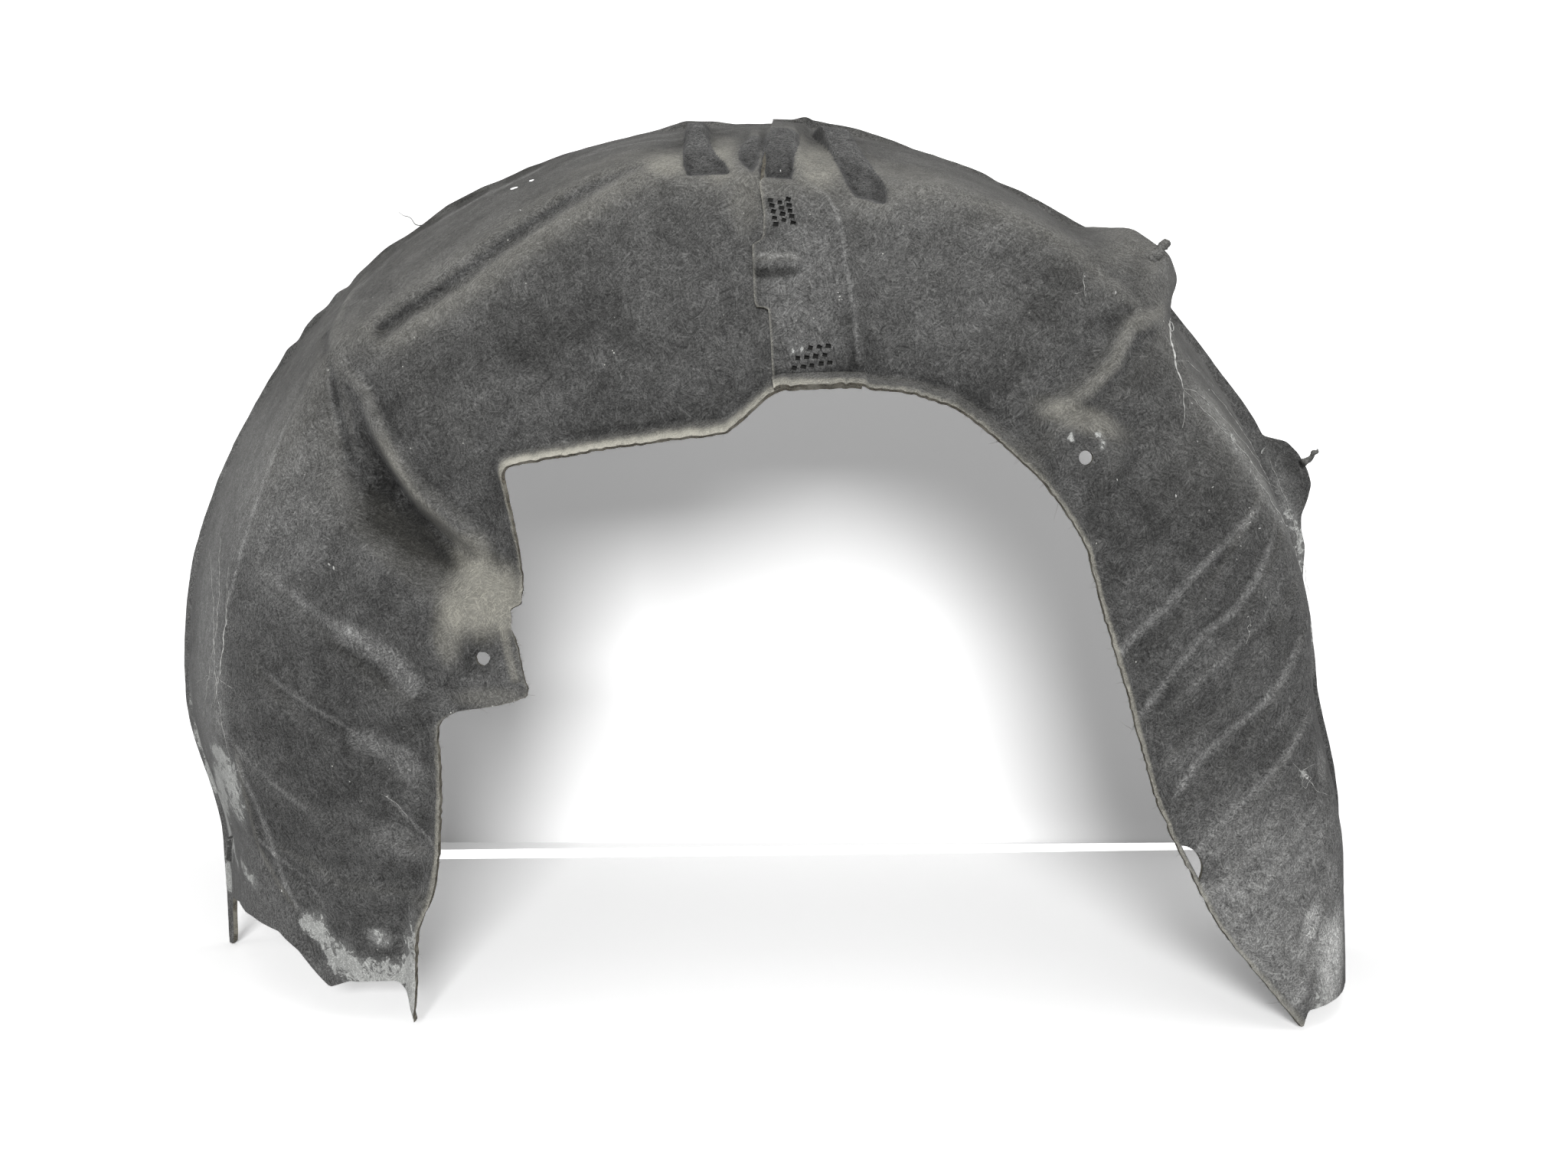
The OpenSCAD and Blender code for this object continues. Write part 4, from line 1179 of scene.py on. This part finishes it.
def joined(parts):
    """Points and faces of several small meshes as one."""
    points, faces, base = [], [], 0
    for part_points, part_faces in parts:
        faces += [[base + k for k in face] for face in part_faces]
        points.append(np.asarray(part_points, float))
        base += len(part_points)
    return np.concatenate(points), faces


def loose_piece(name, parts, material):
    """One object out of small meshes, smooth, riding on the body."""
    piece = new_mesh(name, *joined(parts))
    piece.data.materials.append(material)
    piece.data.shade_smooth()
    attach(piece, BODY)
    return piece


def thread(tree, rng, k, radius, points):
    """Cobweb thread that sways along its points and lies on the outer face."""
    line = np.array(points, float).reshape(-1, 2)
    run = np.concatenate([[0], np.cumsum(np.hypot(*np.diff(line, axis=0).T))])
    at = np.linspace(0, run[-1], max(6, int(run[-1] / THREAD_STEP)))
    x, z = (np.interp(at, run, line[:, c]) for c in (0, 1))
    sway = np.sin(at * 0.35 + k) * 0.5 + rng.normal(0, 0.15, len(at))
    x, z = x + sway, z + 0.5 * sway[::-1]
    y = np.array([front_depth(tree, px, pz) for px, pz in zip(x, z)]) - THREAD_LIFT
    y = np.minimum(y, np.convolve(np.pad(y, 2, mode="edge"), np.ones(5) / 5, "valid"))
    taper = np.sin(np.linspace(0.25, math.pi - 0.25, len(at))) ** 0.5
    return tube(np.stack([x, y, z], axis=1),
                radius * (1 + 0.5 * np.sin(at * 0.9 + 2 * k)) * taper, 4, 0.3, k)


def speck(tree, rng, x, z, radius):
    """Short spindle of lint that lies on the outer face, turned at random."""
    y = front_depth(tree, x, z)
    turn = rng.uniform(0, math.pi)
    step = np.array([math.cos(turn), 0, math.sin(turn)]) * radius
    line = [np.array([x, y - 0.3, z]) + step * t for t in (-1, -0.5, 0, 0.5, 1)]
    return tube(line, np.array([0.25, 0.7, 0.8, 0.6, 0.2]) * radius * 0.7, 5, 0.4)


def loose_fibre(rng, edge, outward, inward):
    """Short bent fibre that stands out of the cut edge at random, clear of the floor."""
    root = edge - outward * 0.8
    root = root + inward * rng.uniform(-1, 1) + [0, rng.uniform(0.5, 2.5), 0]
    way = outward + rng.normal(0, 0.75, 3)
    way /= np.linalg.norm(way)
    bend = rng.normal(0, 0.45, 3)
    length = 1.2 + rng.exponential(1.1)
    line = np.array([root + way * length * t + bend * length * t * t for t in (0, 0.35, 0.7, 1)])
    line[:, 2] = np.maximum(line[:, 2], 0.3 - CENTRE_H)
    return tube(line, (0.11, 0.1, 0.08, 0.03), 3)


def torn_nub(k, x0, z0, x1, z1, y, radius):
    """Crooked stub of torn felt that narrows from its root to its tip."""
    t = np.linspace(0, 1, 22)
    line = np.stack([mix(x0, x1, t) + 0.5 * np.sin(17 * t), y + 1.5 * np.sin(7 * t),
                     mix(z0, z1, t) + 0.9 * np.sin(11 * t + k)], axis=1)
    radii = radius * (0.75 - 0.45 * t + 0.08 * np.sin(19 * t + k)) * fade(0.85, 1.1, t)
    return tube(line, radii, 11, 0.16, k)


class LINER_OT_threads(Operator):
    """Lay the cobweb threads and the pale specks on the felt"""
    bl_idname = "liner.threads"
    bl_label = "Threads and specks"

    def execute(self, context):
        tree = shells_tree()
        rng = np.random.default_rng(THREAD_SEED)
        parts = [thread(tree, rng, k, radius, points)
                 for k, (radius, *points) in enumerate(THREADS)]
        parts += [speck(tree, rng, *row) for row in SPECKS]
        loose_piece("cobweb_threads", parts, plain_material("thread", THREAD_COLOUR, 0.3))
        return {"FINISHED"}


class LINER_OT_fibres(Operator):
    """Add the loose fibres along the cut edges and the three torn nubs"""
    bl_idname = "liner.fibres"
    bl_label = "Loose fibres"

    def execute(self, context):
        rng = np.random.default_rng(FIBRE_SEED)
        station = rng.uniform(RIGHT_END + 0.5, LEFT_END - 0.5, context.scene.liner_sizes.fibres)
        p = outer_face(np.repeat(station[:, None], COLS, axis=1))
        outward = p[:, 0] - p[:, 3]
        outward /= np.linalg.norm(outward, axis=1, keepdims=True)
        inward = np.cross(outward, np.stack([-outward[:, 2], 0 * station, outward[:, 0]], axis=1))
        parts = [loose_fibre(rng, *rows) for rows in zip(p[:, 0], outward, inward)]
        loose_piece("edge_fibres", parts, plain_material("loose_fibre", FIBRE_COLOUR, 0.5))
        nub = loose_piece("torn_nubs", [torn_nub(k, *row) for k, row in enumerate(NUBS)],
                          felt_material("felt_nub", context.scene.liner_finish))
        for name, value in (("dust", 0.1), ("mud", 0.0), ("tone", 0.5)):
            paint(nub, name, [value] * len(nub.data.vertices))
        return {"FINISHED"}


def area_lamp(name, size, energy, at, target):
    """Soft square lamp at a place, turned to a target; both are metres in the frame."""
    data = bpy.data.lights.new(name, "AREA")
    data.size = size
    data.energy = energy
    lamp = linked(name, data)
    lamp.location = at
    way = np.array(target) - np.array(at)
    lamp.rotation_euler = (math.atan2(math.hypot(way[0], way[1]), -way[2]), 0,
                           math.atan2(way[0], -way[1]) + math.pi)


def stage_plane(name, corners, bounce, seen):
    """Flat part of the stage, which isn't part of the object.

    It is white: bounce is its grey for bounced light, seen the brighter one for the camera.
    It is clear where its back is looked at.
    """
    white, shader, n = blank_material(name + "_white", 1.0, 0.0)
    camera_ray = n.add("ShaderNodeLightPath", {})
    n.dress(shader, n.blend(camera_ray, (bounce, bounce, bounce, 1), (seen, seen, seen, 1)))
    behind = n.add("ShaderNodeNewGeometry", {}, output="Backfacing")
    clear = n.add("ShaderNodeBsdfTransparent", {})
    one_sided = n.add("ShaderNodeMixShader", {0: behind, 1: shader.outputs[0], 2: clear})
    n.tree.links.new(one_sided, n.tree.nodes["Material Output"].inputs[0])
    mesh = bpy.data.meshes.new(name)
    mesh.from_pydata(corners, [], [(0, 1, 2, 3)])
    mesh.materials.append(white)
    linked(name, mesh)


class LINER_OT_stage(Operator):
    """Lay the pale floor and wall, and set the camera and the lamps"""
    bl_idname = "liner.stage"
    bl_label = "Stage"

    def execute(self, context):
        scene = context.scene
        wall_y = (CENTRE[1] + WALL_BEHIND) / 1000
        far = STAGE_REACH
        stage_plane("floor", [(-far, -far, 0), (far, -far, 0), (far, wall_y, 0),
                              (-far, wall_y, 0)], *FLOOR_WHITE)
        stage_plane("wall", [(-far, wall_y, 0), (far, wall_y, 0), (far, wall_y, far),
                             (-far, wall_y, far)], *WALL_WHITE)
        stage_plane("wall_foot", [(x, y + CENTRE[1] / 1000, FOOT_Z) for x, y in WALL_FOOT],
                    *FOOT_WHITE)
        camera = linked("camera", bpy.data.cameras.new("camera"))
        camera.location = (CENTRE + CAMERA_AT) / 1000
        camera.rotation_euler = (math.radians(90 - CAMERA_PITCH), 0, 0)
        camera.data.sensor_width = SENSOR_MM
        camera.data.lens = CAMERA_FOCAL_PX / IMAGE_W * SENSOR_MM
        scene.camera = camera
        for lamp in LAMPS:
            area_lamp(*lamp)
        scene.world = bpy.data.worlds.new("studio")
        scene.world.use_nodes = True
        n = Nodes(scene.world.node_tree)
        background = n.tree.nodes["Background"]
        background.inputs["Color"].default_value = (1, 1, 1, 1)
        camera_ray = n.add("ShaderNodeLightPath", {})
        n.tree.links.new(n.ramp(camera_ray, 0.0, 1.0, WORLD_LIGHT, 1.0),
                         background.inputs["Strength"])
        scene.view_settings.view_transform = "Standard"
        return {"FINISHED"}


OPERATORS = (LINER_OT_left_shell, LINER_OT_right_shell, LINER_OT_threads, LINER_OT_fibres,
             LINER_OT_stage)


class LINER_PT_panel(Panel):
    """Panel with the liner's sizes, colours and operators"""
    bl_idname = "LINER_PT_panel"
    bl_label = "Arch Liner"
    bl_space_type = "VIEW_3D"
    bl_region_type = "UI"
    bl_category = "Arch Liner"

    def draw(self, context):
        column = self.layout.column()
        for group in (context.scene.liner_sizes, context.scene.liner_finish):
            for name in group.__annotations__:
                column.prop(group, name)
        for operator in OPERATORS:
            column.operator(operator.bl_idname)


CLASSES = (LinerSizes, LinerFinish, *OPERATORS, LINER_PT_panel)


def register():
    """Register the classes and hang the settings on the scene."""
    for cls in CLASSES:
        bpy.utils.register_class(cls)
    bpy.types.Scene.liner_sizes = PointerProperty(type=LinerSizes)
    bpy.types.Scene.liner_finish = PointerProperty(type=LinerFinish)


def unregister():
    """Take the settings and the classes away again."""
    del bpy.types.Scene.liner_finish
    del bpy.types.Scene.liner_sizes
    for cls in reversed(CLASSES):
        bpy.utils.unregister_class(cls)


def main():
    """Build everything in order."""
    register()
    for operator in OPERATORS:
        group, name = operator.bl_idname.split(".")
        getattr(getattr(bpy.ops, group), name)()


if __name__ == "__main__":
    main()
